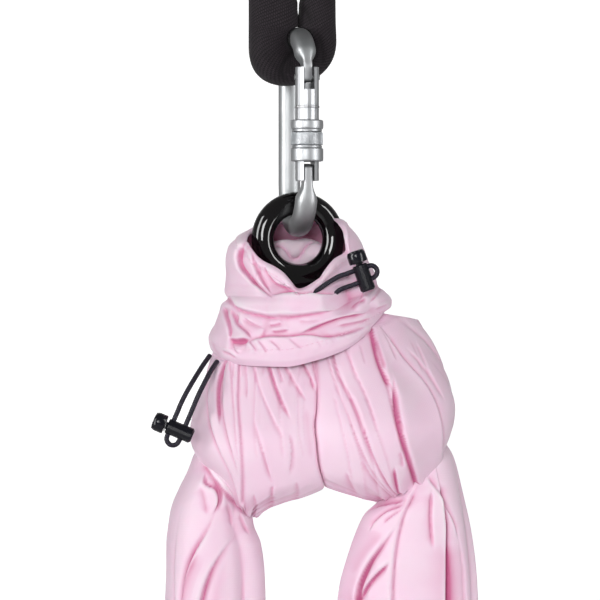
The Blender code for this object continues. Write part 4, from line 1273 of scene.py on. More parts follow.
@dataclass
class FigureEight:
    """Two round rings and the neck between them, forged in one piece."""

    small_z: float = -299.9
    small_ring: float = 19.0
    small_tube: float = 6.0
    large_z: float = -355.9
    large_ring: float = 32.5
    large_tube: float = 6.5
    neck_z: float = -322.2
    neck_half: tuple[float, float, float] = (13.5, 4.8, 8.7)
    voxel: float = 0.62
    blend_rounds: int = 14

    def ring(self, name: str, middle: float, radius: float, tube: float) -> Object:
        """One ring, before the parts are forged together.

        Args:
            name: the object's name.
            middle: height of the ring's middle.
            radius: from the middle to the tube's own middle.
            tube: the tube's radius.

        Returns:
            The ring as a plain object.
        """
        a = turns(120)
        spoke = np.column_stack((np.cos(a), np.zeros(120), np.sin(a)))
        grid = sweep(spoke * radius + middle * UPWARD, BACKWARD, spoke, tube, tube, 36)
        return link_object(name, grid_mesh(name, rig_to_row(grid), closed_rows=True))

    def neck(self) -> Object:
        """The neck as a bar with soft edges.

        Returns:
            The neck as a plain object.
        """
        half_x, half_y, half_z = self.neck_half
        levels = np.linspace(-half_z, half_z, 40)[:, None]
        half_x = half_x * (1 - 0.06 * bell(levels / half_z * 1.4))
        grid = sweep((levels + self.neck_z) * UPWARD, ACROSS, BACKWARD, half_x, half_y, 48, 0.45)
        return link_object("neck", grid_mesh("neck", rig_to_row(grid)))

    def build(self) -> None:
        """Join the parts, blend their meeting lines and add the piece."""
        body = self.ring("body", self.large_z, self.large_ring, self.large_tube)
        others = [self.ring("small", self.small_z, self.small_ring, self.small_tube), self.neck()]
        for other in others:
            modify(body, "BOOLEAN", object=other, operation="UNION", solver="EXACT")
        modify(body, "REMESH", mode="VOXEL", voxel_size=self.voxel * MM, use_smooth_shade=True)
        modify(body, "SMOOTH", factor=0.5, iterations=self.blend_rounds)
        name = "figure_eight_forging"
        mesh = applied_mesh(body, name)
        for obj in (body, *others):
            bpy.data.objects.remove(obj)
        add_piece(name, mesh, Look.ALLOY, "silks", "figure_eight")


def modify(obj: Object, kind: str, **settings: object) -> Modifier:
    """Add a modifier of a kind and set it up."""
    modifier = obj.modifiers.new(kind.lower(), kind)
    for key, value in settings.items():
        setattr(modifier, key, value)
    return modifier


def applied_mesh(obj: Object, name: str) -> Mesh:
    """Apply an object's modifiers to a new mesh.

    Args:
        obj: the object.
        name: the new mesh's name.

    Returns:
        The smooth shaded mesh.
    """
    bpy.context.view_layer.update()
    graph = bpy.context.evaluated_depsgraph_get()
    mesh = bpy.data.meshes.new_from_object(obj.evaluated_get(graph))
    mesh.name = name
    mesh.shade_smooth()
    return mesh


def finish_tree(build: Builder, instances: NodeSocket, target: Node, look: Look) -> None:
    """Realize a geometry nodes tree's instances, set their material and put them out.

    Args:
        build: the tree's builder.
        instances: the instances.
        target: the tree's output node.
        look: their finish.
    """
    real = build.add("GeometryNodeRealizeInstances", {0: instances})
    finish = build.add("GeometryNodeSetMaterial", {0: real.outputs[0], "Material": look.material})
    build.feed(target, {0: finish.outputs[0]})


def grown_mesh(name: str, start: Mesh, tree: NodeTree, values: dict[str, object]) -> Mesh:
    """Run a geometry nodes tree on a mesh.

    Args:
        name: the new mesh's name.
        start: the mesh that goes in.
        tree: the tree.
        values: the tree's named inputs.

    Returns:
        What comes out, as a plain mesh.
    """
    holder = link_object(name + "_holder", start)
    modifier = modify(holder, "NODES", node_group=tree)
    for item in tree.interface.items_tree:
        if item.item_type == "SOCKET" and item.in_out == "INPUT" and item.name in values:
            modifier[item.identifier] = values[item.name]
    mesh = applied_mesh(holder, name)
    bpy.data.objects.remove(holder)
    return mesh


@dataclass(frozen=True)
class StitchLine:
    """A row of stitches along a closed line on a cloth's face."""

    name: str
    spacing: float = 2.7
    length: float = 1.8
    thickness: float = 0.42

    def tree(self, look: Look) -> NodeTree:
        """Build geometry nodes that lay small capsules end to end along the input's edges.

        Args:
            look: the thread's finish.

        Returns:
            The tree.
        """
        inputs = {"Geometry": ("NodeSocketGeometry", None)}
        inputs |= {key: ("NodeSocketFloat", MM) for key in ("Spacing", "Length", "Thickness")}
        output = {"Geometry": "NodeSocketGeometry"}
        build, source, target = new_group(self.name, inputs, output, "GeometryNodeTree")
        sizes = source.outputs
        line = build.add("GeometryNodeMeshToCurve", {"Mesh": sizes["Geometry"]}).outputs[0]
        steps = {"Curve": line, "Length": sizes["Spacing"]}
        places = build.add("GeometryNodeCurveToPoints", steps, mode="LENGTH").outputs
        bead = build.add("GeometryNodeMeshUVSphere", {"Segments": 6, "Rings": 5, "Radius": 0.5})
        scale = {"X": sizes["Thickness"], "Y": sizes["Thickness"], "Z": sizes["Length"]}
        size = build.add("ShaderNodeCombineXYZ", scale).outputs[0]
        stitch = build.add("GeometryNodeTransform", {"Geometry": bead.outputs["Mesh"], "Scale": size})
        row = {"Points": places["Points"], "Rotation": places["Rotation"], "Instance": stitch.outputs[0]}
        finish_tree(build, build.add("GeometryNodeInstanceOnPoints", row).outputs[0], target, look)
        return build.tree

    def build(self, lines: tuple[Array, ...], look: Look, body: str) -> Object:
        """Sew along closed lines of points.

        Args:
            lines: rows of points in millimetres.
            look: the thread's finish.
            body: the body that it moves with.

        Returns:
            The piece.
        """
        points = [Vector(point) * MM for line in lines for point in line]
        edges = []
        start = 0
        for line in lines:
            edges += [(start + k, start + (k + 1) % len(line)) for k in range(len(line))]
            start += len(line)
        path = bpy.data.meshes.new(self.name + "_path")
        path.from_pydata(points, edges, [])
        values = {"Spacing": self.spacing * MM, "Length": self.length * MM, "Thickness": self.thickness * MM}
        mesh = grown_mesh(self.name, path, self.tree(look), values)
        return add_piece(self.name, mesh, look, body)


@dataclass(frozen=True)
class LockHead:
    """The round head over a cord lock's plunger, with a skirt round its neck."""

    name: str
    centre: Place
    button: Place
    body: str
    outer: float = 4.9
    bore: float = 4.3
    skirt: float = 4.65
    skirt_bevel: float = 0.25
    wall_end: float = 8.8
    dome: Table = ((10.0, 4.65), (10.75, 4.0), (11.1, 3.0), (11.2, 1.7))
    end: float = 11.2
    roof: float = 10.85
    hub: float = 0.05
    sides: int = 40

    def build(self) -> None:
        """Turn the head round the lock's axis."""
        profile = (
            (self.skirt, self.bore), (self.skirt, self.outer - self.skirt_bevel),
            (self.skirt + self.skirt_bevel, self.outer), (self.wall_end, self.outer), *self.dome,
            (self.end, self.hub), (self.roof, self.hub), (self.roof, self.bore),
            (self.skirt + 0.4, self.bore),
        )
        axis = np.array(Vector(self.button).normalized())
        rings = turned(profile, self.centre, axis, BACKWARD[0], self.sides)
        mesh = grid_mesh(self.name, rings, closed_rows=True)
        mesh.set_sharp_from_angle(angle=math.radians(60))
        add_piece(self.name, mesh, Look.LOCK, self.body)


LOCK_HEADS = (
    LockHead("upper_lock_head", (32.0, -30.0, -317.0), (-0.33, 0.0, 0.943), "upper_plunger"),
    LockHead("lower_lock_head", (-65.4, -37.0, -398.2), (-0.92, 0.0, 0.39), "lower_plunger"),
)


@dataclass
class ScrewSleeve:
    """The turning sleeve with two smooth bands and a knurled one between them."""

    centre: Place = (0.0, -22.5, -249.0)
    outer: float = 8.5
    bore: float = 6.55
    half: float = 10.8
    top_band: float = 5.5
    grip_band: float = 8.4
    groove: float = 1.3
    groove_depth: float = 0.75
    ease: float = 0.9
    grip_drop: float = 0.35
    knurl_rows: int = 10
    knurl_count: int = 66
    knurl_sink: float = 0.42
    tooth: float = 0.46
    sides: int = 96

    def profile(self) -> list[tuple[float, float]]:
        """Draw the wall's outline, down the outside and up the bore.

        Returns:
            Points of (height, radius).
        """
        points: list[tuple[float, float]] = []
        grip_top = self.half - self.top_band
        grip_low = grip_top - self.grip_band
        quarter = [math.radians(90 * k / 4) for k in range(5)]
        corner = [(self.ease * (1 - math.cos(a)), self.ease * (1 - math.sin(a))) for a in quarter]
        bands = (
            (self.half, grip_top, self.outer), (grip_top, grip_low, self.outer - self.grip_drop),
            (grip_low, -self.half, self.outer),
        )
        for top, low, radius in bands:
            start = top if top == self.half else top - self.groove / 2
            end = low if low == -self.half else low + self.groove / 2
            points += [(start - in_z, radius - in_r) for in_z, in_r in corner]
            points += [(end + in_r, radius - in_z) for in_z, in_r in corner]
            if low != -self.half:
                points += [(low + step * self.groove, self.outer - self.groove_depth) for step in (0.3, -0.3)]
        points += [(z, self.bore) for z in (-self.half, -self.half + 0.5, 0.0, self.half - 0.5, self.half)]
        return points

    def shell(self) -> Mesh:
        """Turn the sleeve.

        Returns:
            Its mesh.
        """
        rows = turned(self.profile(), self.centre, UPWARD[0], ACROSS[0], self.sides)
        mesh = grid_mesh("sleeve_shell", rig_to_row(rows), closed_rows=True)
        mesh.set_sharp_from_angle(angle=math.radians(50))
        return mesh

    def knurl_tree(self, look: Look) -> NodeTree:
        """Build geometry nodes that stand rows of small pyramids round a band.

        Args:
            look: the pyramids' finish.

        Returns:
            The tree.
        """
        inputs = {key: ("NodeSocketInt", 1) for key in ("Count", "Rows")}
        inputs |= {key: ("NodeSocketFloat", MM) for key in ("Radius", "Row Gap", "Tooth")}
        output = {"Geometry": "NodeSocketGeometry"}
        build, source, target = new_group("knurl", inputs, output, "GeometryNodeTree")
        sizes = source.outputs
        ring = build.add("GeometryNodeMeshCircle", {"Vertices": sizes["Count"], "Radius": sizes["Radius"]})
        pyramid = {
            "Vertices": 4, "Radius Top": 0.0, "Radius Bottom": sizes["Tooth"],
            "Depth": build.math("MULTIPLY", sizes["Tooth"], 0.7),
        }
        tooth = build.add("GeometryNodeMeshCone", pyramid, fill_type="NGON")
        place = build.add("GeometryNodeInputPosition").outputs[0]
        face = build.add("FunctionNodeAlignRotationToVector", {"Vector": place}, axis="Z").outputs[0]
        teeth = {"Points": ring.outputs["Mesh"], "Instance": tooth.outputs["Mesh"], "Rotation": face}
        offset = build.add("ShaderNodeCombineXYZ", {"Z": sizes["Row Gap"]}).outputs[0]
        rows = build.add("GeometryNodeMeshLine", {"Count": sizes["Rows"], "Offset": offset})
        order = build.add("GeometryNodeInputIndex").outputs[0]
        spin = build.math("MULTIPLY", order, math.pi / self.knurl_count)
        stack = {
            "Points": rows.outputs["Mesh"],
            "Instance": build.add("GeometryNodeInstanceOnPoints", teeth).outputs[0],
            "Rotation": build.add("ShaderNodeCombineXYZ", {"Z": spin}).outputs[0],
        }
        finish_tree(build, build.add("GeometryNodeInstanceOnPoints", stack).outputs[0], target, look)
        return build.tree

    def build(self) -> None:
        """Make the sleeve and its knurl."""
        add_piece("sleeve_shell", self.shell(), Look.GATE, "sleeve", "screw_sleeve")
        band_top = self.half - self.top_band - self.groove
        band_low = self.half - self.top_band - self.grip_band + self.groove
        values = {
            "Radius": (self.outer - self.knurl_sink) * MM, "Count": self.knurl_count, "Rows": self.knurl_rows,
            "Row Gap": (band_top - band_low) / (self.knurl_rows - 1) * MM, "Tooth": self.tooth * MM,
        }
        start = bpy.data.meshes.new("knurl_start")
        mesh = grown_mesh("sleeve_knurl", start, self.knurl_tree(Look.GRIP), values)
        turn = Matrix.Translation((RIG_X, 0, 0)) @ Matrix.Rotation(RIG_YAW, 4, "Z")
        x, y, z = self.centre
        mesh.transform(turn @ Matrix.Translation(Vector((x, y, z + band_low)) * MM))
        mesh.shade_flat()
        add_piece("sleeve_knurl", mesh, Look.GRIP, "sleeve")


def dress_hardware() -> None:
    """Finish the hard CAD nodes that stay as they are."""
    lock_parts = [f"{lock}_lock_{part}" for lock in ("upper", "lower") for part in ("barrel", "plunger")]
    lock_springs = ["upper_lock_spring", "lower_lock_spring"]
    for look, names in (
        (Look.GATE, ["gate_tube"]),
        (Look.STEEL, ["gate_hinge_pin", "gate_plunger", "gate_spring", *lock_springs]),
        (Look.PIN, ["gate_latch_pin", "gate_stop_ring"]),
        (Look.RUBBER, ["sleeve_friction_ring"]),
        (Look.YARN, ["sling_core"]),
        (Look.LOCK, lock_parts),
    ):
        for name in names:
            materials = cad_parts[name].data.materials
            materials.clear()
            materials.append(look.material)
            LOG.info("%s dressed", name)


@dataclass
class Sling:
    """The round sling's woven sleeve and the cover over its seam.

    A section is given by its inner point, its outward direction, its thickness, half its depth, the
    radius of what it lies on and how much of its inner face follows that.
    """

    top_stock: float = -194.3
    stock: float = 5.7
    gap: float = 0.3
    bow_radius: float = 22.5
    hook: float = 9.0
    left_reach: float = 26.3
    right_reach: float = 20.0
    left_depth: float = 19.0
    right_depth: float = 21.0
    thickness: float = 14.5
    bulge: float = 8.6
    sag: float = 3.8
    depth: float = 24.0
    crown: float = 14.0
    nip_gap: float = 0.6
    nip_rise: float = 12.5
    nip_ease: float = 6.0
    tight_gap: float = 0.04
    seam_drop: float = 60.0
    seam_length: float = 32.0
    seam_wall: float = 1.6
    slack: float = 0.25
    sink: float = 0.1
    section: int = 84
    square: float = 0.8
    creases: Rows = (
        ((300, 44, 290, 54, 283, 64, 281, 74, 290, 84), 0.6, 5, 0, 0.75),
        ((296, 60, 288, 66, 286, 76), 0.3, 8, 0, 0.6),
        ((316, 30, 322, 46, 324, 58, 322, 70), 0.8, 4, 0, 0.6),
        ((302, 4, 308, 14, 312, 26), 0.8, 3.6, 0, 0.6),
        ((262, 44, 270, 60, 284, 74), 0.4, 5, 0, 0.25),
    )

    def inside(self, z: float) -> float:
        """How far a strand's inner face stands from the loop's middle line.

        Args:
            z: the height.

        Returns:
            The distance.
        """
        nest = self.stock + self.gap
        nip = self.top_stock + self.nip_rise
        last = nip + self.nip_rise * 0.5
        if z > last:
            share = (z - last) / (-self.hook - last)
            return self.nip_gap * 1.5 + (self.hook - self.nip_gap * 1.5) * share
        round_stock = math.sqrt(max(nest ** 2 - (z - self.top_stock) ** 2, 0.0))
        closed = float(settle((z - nip + self.nip_ease / 2) / self.nip_ease))
        return max(self.tight_gap + (self.nip_gap - self.tight_gap) * closed, round_stock)

    def widths(self, side: float) -> tuple[float, float]:
        """How far the strand on a side reaches and how deep it is."""
        left, right = (self.left_reach, self.left_depth), (self.right_reach, self.right_depth)
        return right if side > 0 else left

    def strand(self, side: int, z: float) -> Station:
        """Place a section on a strand.

        Args:
            side: -1 for the left strand, 1 for the right.
            z: its height.

        Returns:
            The section.
        """
        inner = self.inside(z)
        reach, depth = self.widths(side)
        span = self.nip_rise - self.stock - self.gap
        fade = float(settle((self.top_stock + self.nip_rise - z) / span))
        return (side * inner, z), (side, 0.0), reach - inner, depth / 2, self.bow_radius, fade

    def bight(self, degrees: float) -> Station:
        """Place a section on the lower bight.

        Args:
            degrees: 0 straight down and 90 to the right.

        Returns:
            The section.
        """
        nest = self.stock + self.gap
        angle = math.radians(degrees)
        out = (math.sin(angle), -math.cos(angle))
        reach_rows = (
            (-90, self.left_reach), (-48, nest + self.thickness + self.bulge),
            (2, nest + self.thickness + self.sag), (45, nest + self.thickness + self.bulge * 0.1),
            (90, self.right_reach),
        )
        depth_rows = ((-90, self.left_depth), (-15, self.depth), (15, self.depth), (90, self.right_depth))
        reach = float(read_table(reach_rows, np.array([degrees]))[0, 0])
        depth = float(read_table(depth_rows, np.array([degrees]))[0, 0])
        inner = (nest * out[0], self.top_stock + nest * out[1])
        return inner, out, reach - nest, depth / 2, self.bow_radius - nest * math.cos(angle), 1.0

    def top(self, degrees: float) -> Station:
        """Place a section on the upper loop.

        Args:
            degrees: 0 straight up and 90 to the right.

        Returns:
            The section.
        """
        angle = math.radians(degrees)
        out = (math.sin(angle), math.cos(angle))
        reach, depth = self.widths(angle)
        share = math.sin(angle) ** 2
        thickness = self.crown + (reach - self.hook - self.crown) * share
        inner = (self.hook * out[0], -self.hook + self.hook * out[1])
        return inner, out, thickness, (self.depth + (depth - self.depth) * share) / 2, self.bow_radius, 0.0

    def ring(self, station: Station, grow: float = 0.0) -> Array:
        """Draw one section.

        Args:
            station: its place and sizes.
            grow: how far it stands out all round.

        Returns:
            Its points.
        """
        inner, out, thickness, half_depth, nest, sag_share = station
        a = math.tau * (np.arange(self.section) + 0.5) / self.section
        depth = (half_depth + grow) * squared(np.cos(a), self.square)
        share = 0.5 - 0.5 * squared(np.sin(a), self.square)
        away = -grow + share * (thickness + 2 * grow)
        sag = nest - np.sqrt(np.maximum(nest ** 2 - depth ** 2, 0.0))
        drop = sag * sag_share * (1 - share)
        return np.column_stack((inner[0] + out[0] * away, depth, inner[1] + out[1] * away - drop))

    def rings(self) -> Array:
        """Draw the sections round the whole loop.

        Returns:
            A grid of points.
        """
        low, high = self.top_stock, -self.hook
        stations = [self.strand(-1, z) for z in np.linspace(high, low, 150)[:-1]]
        stations += [self.bight(d) for d in np.linspace(-90, 90, 90)]
        stations += [self.strand(1, z) for z in np.linspace(low, high, 150)[1:]]
        stations += [self.top(d) for d in np.linspace(90, -90, 60)[1:-1]]
        return np.array([self.ring(station) for station in stations])

    def build(self) -> None:
        """Make the sleeve and its seam cover."""
        grid = self.rings()
        normals = grid_normals(grid, closed_rows=True)
        around = np.linspace(0, math.tau, grid.shape[1], endpoint=False)[None, :]
        along = np.linspace(0, 40, grid.shape[0])[:, None]
        slack = Wave(5, 7, 0.5, 1.6).at(np.cos(around) * 2, along) * self.slack
        wall = grid - grid.mean(axis=1, keepdims=True)
        outer = np.linalg.norm(wall, axis=-1)
        grid = grid + normals * (slack * settle((outer - 4.0) / 5.0) - self.sink)[..., None]
        # The fold lines add painted shade, which keeps the cloth dark in its creases
        grid, shade = press_creases(rig_to_row(grid), self.creases)
        mesh = grid_mesh("sling_sleeve_cloth", grid, shade, closed_rows=True)
        add_piece("sling_sleeve_cloth", mesh, Look.SLING, "sling", "sling_sleeve")
        rise = np.array([1.0, 1.0, 0.98, 0.9, 0.5])
        levels = self.seam_length / 2 * np.concatenate((rise, [0.0], -rise[::-1])) - self.seam_drop
        grows = self.seam_wall * np.array([0.1, 0.7, *[1.0] * 7, 0.7, 0.1])
        cover = np.array([self.ring(self.strand(-1, z), g) for z, g in zip(levels, grows)])
        mesh = grid_mesh("sling_seam_band", rig_to_row(cover), closed_rows=True)
        add_piece("sling_seam_band", mesh, Look.SLING, "sling", "sling_seam_cover")


# Cloth pieces. Their tables are in millimetres and their fold lines in picture points. The collar's
# rim and hem give a height at each angle from the front, in degrees, and its levels give the left,
# right, front and back limit at each height.


COLLAR_RIM = (
    (-180, -288.5), (-120, -290), (-90, -294.5), (-66, -298), (-47, -303), (-34, -309.8),
    (-16.4, -317.2), (-4.2, -325.8), (13.5, -320.3), (17.5, -317), (32, -310.3), (46.5, -306),
    (51, -298), (63, -291), (90, -288), (180, -288.5),
)
COLLAR_HEM = (
    (-180, -346), (-120, -352), (-90, -359), (-58, -364.5), (-32, -365.8), (-8, -366),
    (11, -363), (30, -358.5), (53, -350.5), (73, -344.5), (90, -340), (135, -340), (180, -346),
)
COLLAR_LEVELS = (
    (-287.5, -19, 18.5, -18, 20), (-291, -23, 23.5, -21, 24), (-295, -26, 28, -24, 27),
    (-299, -32.5, 31, -27, 30), (-304, -37.2, 33.5, -28, 31.5), (-311, -38.7, 36.5, -28, 32.5),
    (-318, -38, 40.2, -28.4, 33), (-324, -37.8, 41.2, -29.2, 33.5), (-328, -38, 44.3, -31.5, 34),
    (-331, -38, 46.8, -34, 35), (-334.5, -41.5, 47.2, -35.5, 36), (-338, -42, 44, -36, 37),
    (-345, -44.2, 42.6, -37, 38), (-351, -46.2, 42.6, -38, 38.5), (-359, -46.6, 43, -38.5, 39),
    (-367, -46, 43.4, -38.5, 39),
)
# Fold lines add painted shade; those with a depth of 0 add nothing but painted shade
COLLAR_CREASES = (
    ((249, 236, 241.5, 248, 239.4, 257, 243, 268, 250, 276, 257.7, 286.5, 266, 294.3, 276, 302), 2.6,
     1.9, -2.6, 0.65, 15),
    ((253, 244, 243, 252, 240, 262), 0.5, 3.5, 0, 0.25),
    ((250, 249, 254, 262, 257.7, 272, 264, 284, 273, 297), 1.8, 1.8, -1.4, 0.5, 10),
    ((262, 261, 266, 268, 272, 278.7, 280, 286, 298, 288.4), 1.8, 1.8, 1.5, 0.55, 10),
    ((256, 279, 258, 271, 261, 266), 0.9, 1.6, 0.5, 0.35, 6),
    ((258, 270, 268, 284, 284, 293), 0, 8, 0, 0.2),
    ((266, 299, 280, 295.5, 294.3, 294.2, 310, 295.7, 325.7, 297.6, 338.8, 296.3, 349, 291.7, 360, 289,
     376, 281), 2.8, 2.2, -4, 0.8, 15),
    ((227, 292, 233, 304, 245, 311, 268, 316, 288, 318.6), 1.9, 2.2, 2.6, 0.4, 22, True),
    ((262, 315, 286.5, 316, 306, 314.5, 325.7, 311, 342.7, 305.5, 356, 299, 368, 292), 1.9, 2.2, 3, 0.45,
     14),
    ((296, 336, 303, 332, 325.7, 321.8, 345.3, 315.3, 371.5, 312), 2.4, 1.8, 2.4, 0.85, 9),
    ((334, 326.5, 358.4, 321.8, 373, 316.5), 1.3, 1.7, 1.1, 0.5, 8),
    ((347, 308, 356, 303, 366, 297.6), 1.8, 2.4, 1.4, 0.8, 8),
    ((354, 303, 362, 296, 372, 288), 1.2, 1.8, 0.8, 0.5, 7),
    ((368, 303.5, 378, 295, 381, 286), 1.3, 1.6, -1.2, 0.5, 7),
    ((374, 308, 382, 306, 389, 303.5), 1.2, 1.5, 1, 0.5, 6),
    ((268, 325, 275, 325.2, 283, 322.6), 1.5, 1.3, 1.2, 0.85, 6),
    ((270, 331.4, 279, 331.2, 290, 329.2), 1.6, 1.3, 1.2, 0.85, 6),
    ((297, 319, 306, 322, 322, 319), 0.7, 2.4, 0.5, 0.2, 8),
    ((236, 318, 252, 325, 270, 327, 290, 324), 0, 9, 0, 0.27),
    ((224, 306, 228, 316, 233, 326), 0.6, 5, 0, 0.35),
    ((300, 326, 330, 319, 352, 310), 0, 6, 0, 0.15),
    ((268, 304, 300, 304, 330, 303, 362, 294), 0, 8, 0, 0.14),
    ((356, 300, 372, 296, 384, 304), 0, 8, 0, 0.2),
    ((230, 307, 234.2, 318, 238, 326, 247.3, 333, 252.5, 341.5), 1.9, 1.8, -1.8, 0.5, 8),
    ((237, 313, 240, 318, 237, 323), 1.2, 1.5, 0.8, 0.6, 5),
    ((243, 316, 250, 322, 260, 326.6, 268, 327), 1, 2, 1.1, 0.4, 8),
    ((266, 326, 263.5, 333.6, 258, 341.5), 1.1, 1.8, -1.1, 0.45, 8),
    ((222, 304, 226.4, 317.2, 231, 329.3, 231.5, 345), 1.8, 1.9, -1.6, 0.5, 9),
    ((229, 338.5, 238, 341, 250, 338.5), 3.2, 5, 2, 0.95, 8),
    ((232, 347, 250, 341.8, 266, 336.2, 286.5, 337, 309, 335.2, 325.7, 338.8, 352, 333.6, 378, 320), 1.6,
     1.9, -2.4, 0.5, 22),
    ((251, 343.5, 255, 348, 257, 353), 1.2, 1.6, -1, 0.5, 6, True),
    ((260, 343, 264, 348, 267, 354), 1, 1.6, -0.9, 0.4, 6, True),
    ((272, 343, 277, 347, 281, 352), 0.8, 1.7, -0.6, 0.35, 6, True),
    ((290, 341, 297, 347, 303, 350), 0.6, 1.9, -0.5, 0.25, 6, True),
    ((234, 347, 236, 351, 240, 354), 1.1, 1.6, 0.8, 0.5, 6, True),
    ((220, 350, 228, 352, 238, 359), 1.1, 1.8, 0.9, 0.45, 8),
    ((212, 340, 214, 350, 222, 358), 0.5, 3, 0, 0.2),
    *fan(4, 9, ((308, 341), (372, 326)), ((318, 357), (381, 330)), 0.0, (0.3, 0.6), 0.6, 0.25),
    *fan(5, 9, ((350, 258), (386, 300)), ((330, 296), (356, 312)), 0.0, (0.2, 0.6), 0.8, 0.35),
)


@dataclass
class Collar:
    """The drawstring collar: a sewn tube with a V at the front and a rolled hem."""

    columns: int = 408
    rows: int = 120
    wall: float = 1.3
    rim_seam: float = 3.4
    hem_seam: float = 8.6
    room_gap: float = 1.2
    hem_room: float = 1.5
    hem_spread: float = 0.16
    ruck: float = 0.75
    roll: float = 1.1
    roll_reach: float = 14.0
    hem_turn: float = 1.6
    hem_edge: float = 3.6
    lip: float = 0.9
    lip_reach: float = 5.0
    rim_turn: float = 0.8
    rim_edge: float = 2.0
    inner_shade: float = 0.55
    lock_x: float = 32.0
    lock_z: float = -317.0
    lock_button: tuple[float, float] = (-0.33, 0.943)
    lock_half: float = 11.6
    lock_side: float = 5.0
    lock_travel: float = 6.0
    lock_back: float = -25.2
    lock_fade: float = 1.0

    rim: Table = COLLAR_RIM
    hem: Table = COLLAR_HEM
    levels: Table = COLLAR_LEVELS
    creases: Rows = COLLAR_CREASES

    def outline(self, angle: Array, height: Array) -> Array:
        """Points of the collar's outer face at angles from the front, in degrees, and heights."""
        limits = read_table(self.levels, height.reshape(-1)).reshape(4, *height.shape)
        turn = np.radians(angle)
        return np.stack((*oval(limits, np.sin(turn), -np.cos(turn)), height), axis=-1)

    def edges(self, angle: Array) -> tuple[Array, Array]:
        """Heights of the rim and the hem at angles in degrees."""
        return read_table(self.rim, angle)[0], read_table(self.hem, angle)[0]

    def room(self, points: Array) -> Array:
        """Find how far the silks have to draw in to clear the collar.

        Args:
            points: the silks' points.

        Returns:
            For each point, the largest distance from the middle line over its own.
        """
        flat = points.reshape(-1, 3)
        x, y, z = flat.T
        left, right, front, back = read_table(self.levels, z)
        middle_x, middle_y = (left + right) / 2, (front + back) / 2
        half_x = (right - left) / 2 - self.wall - self.room_gap
        half_y = (back - front) / 2 - self.wall - self.room_gap
        u, v = (x - middle_x) / half_x, (y - middle_y) / half_y
        angle = np.degrees(np.arctan2(u, -v))
        hem = self.edges(angle)[1]
        spare = np.maximum(0.0, hem + self.hem_room - z) * self.hem_spread
        reach = np.sqrt(u ** 2 + v ** 2)
        return ((1 + spare) / np.maximum(reach, 1e-6)).reshape(points.shape[:-1])

    def build(self) -> None:
        """Make the collar as one closed wall."""
        angle = np.linspace(-180, 180, self.columns, endpoint=False)
        rim, hem = self.edges(angle)
        share = np.linspace(0, 1, self.rows)[:, None]
        height = rim + (hem - rim) * share
        grid = self.outline(np.broadcast_to(angle, height.shape), height)
        normals = grid_normals(grid)
        turn = np.radians(angle)[None, :]
        sides = np.sin(turn / 2) ** 2
        ruck = Wave(11, 9, 1.2, 3.4).at(turn * 1.6, height / 9.0 + np.sin(turn) * 1.5) * self.ruck
        ruck *= (0.25 + 0.9 * sides) * settle(share / 0.15) * settle((1 - share) / 0.1)
        from_hem = np.clip((height - hem) / self.roll_reach, 0, 1)
        turned_in = self.hem_turn * (1 - settle((height - hem) / self.hem_edge))
        roll = self.roll * np.sin(np.pi * from_hem) - turned_in
        from_rim = np.clip((rim - height) / self.lip_reach, 0, 1)
        turned_in = self.rim_turn * (1 - settle((rim - height) / self.rim_edge))
        lip = self.lip * np.sin(np.pi * from_rim) - turned_in
        grid = grid + normals * (ruck + roll + lip)[..., None]
        grid, shade = press_creases(grid, self.creases)
        grid = self.clear_lock(smooth_grid(grid, 1))
        shade = shade + hollow_shade(grid, 14, 0.4) + hollow_shade(grid, 70, 0.12)
        normals = grid_normals(grid)
        inner = self.clear_lock(grid - normals * self.wall)
        edges = []
        for last, before in ((-1, -2), (0, 1)):
            out = grid[last] - grid[before]
            out /= np.linalg.norm(out, axis=-1, keepdims=True)
            edges.append((grid[last] + inner[last]) / 2 + out * self.wall / 2)
        skin = np.concatenate((grid, edges[:1], inner[::-1], edges[1:]))
        # Painted shade on the inner wall, deeper away from the rim
        inner_shade = self.inner_shade * settle((rim - height) / 10.0)
        fold = np.concatenate((shade, shade[-1:], inner_shade[::-1], shade[:1]))
        mesh = grid_mesh("collar_cloth", skin, fold, closed_rows=True)
        obj = add_piece("collar_cloth", mesh, Look.COLLAR, "silks", "collar")
        reach = rim - hem
        near_rim = self.rows * self.rim_seam / reach
        near_hem = self.rows * (1 - self.hem_seam / reach)
        lines = tuple(self.seam(grid, normals, rows) for rows in (near_rim, near_hem))
        stitches = StitchLine("collar_stitches").build(lines, Look.THREAD, "silks")

    def clear_lock(self, grid: Array) -> Array:
        """Hold the cloth behind the rim's lock, over all of its slide.

        Args:
            grid: the cloth's points.

        Returns:
            The moved points.
        """
        from_x, from_z = grid[..., 0] - self.lock_x, grid[..., 2] - self.lock_z
        button_x, button_z = self.lock_button
        along = np.abs(from_x * button_x + from_z * button_z)
        slide = from_z * button_x - from_x * button_z
        aside = np.maximum(-slide, slide - self.lock_travel) - self.lock_side
        outside = np.hypot(np.clip(along - self.lock_half, 0.0, None), np.clip(aside, 0.0, None))
        ahead = self.lock_back - self.lock_fade * outside - grid[..., 1]
        moved = grid.copy()
        moved[..., 1] += (ahead + np.sqrt(ahead ** 2 + 1.0)) / 2
        return moved

    def seam(self, grid: Array, normals: Array, rows: Array) -> Array:
        """Draw a line just over the cloth's face.

        Args:
            grid: the cloth's points.
            normals: its normals.
            rows: the row number for each column.

        Returns:
            The line's points.
        """
        low = np.clip(rows.astype(int), 0, self.rows - 2)
        share = (rows - low)[:, None]
        column = np.arange(self.columns)
        point = grid[low, column] * (1 - share) + grid[low + 1, column] * share
        return point + normals[low, column] * 0.08


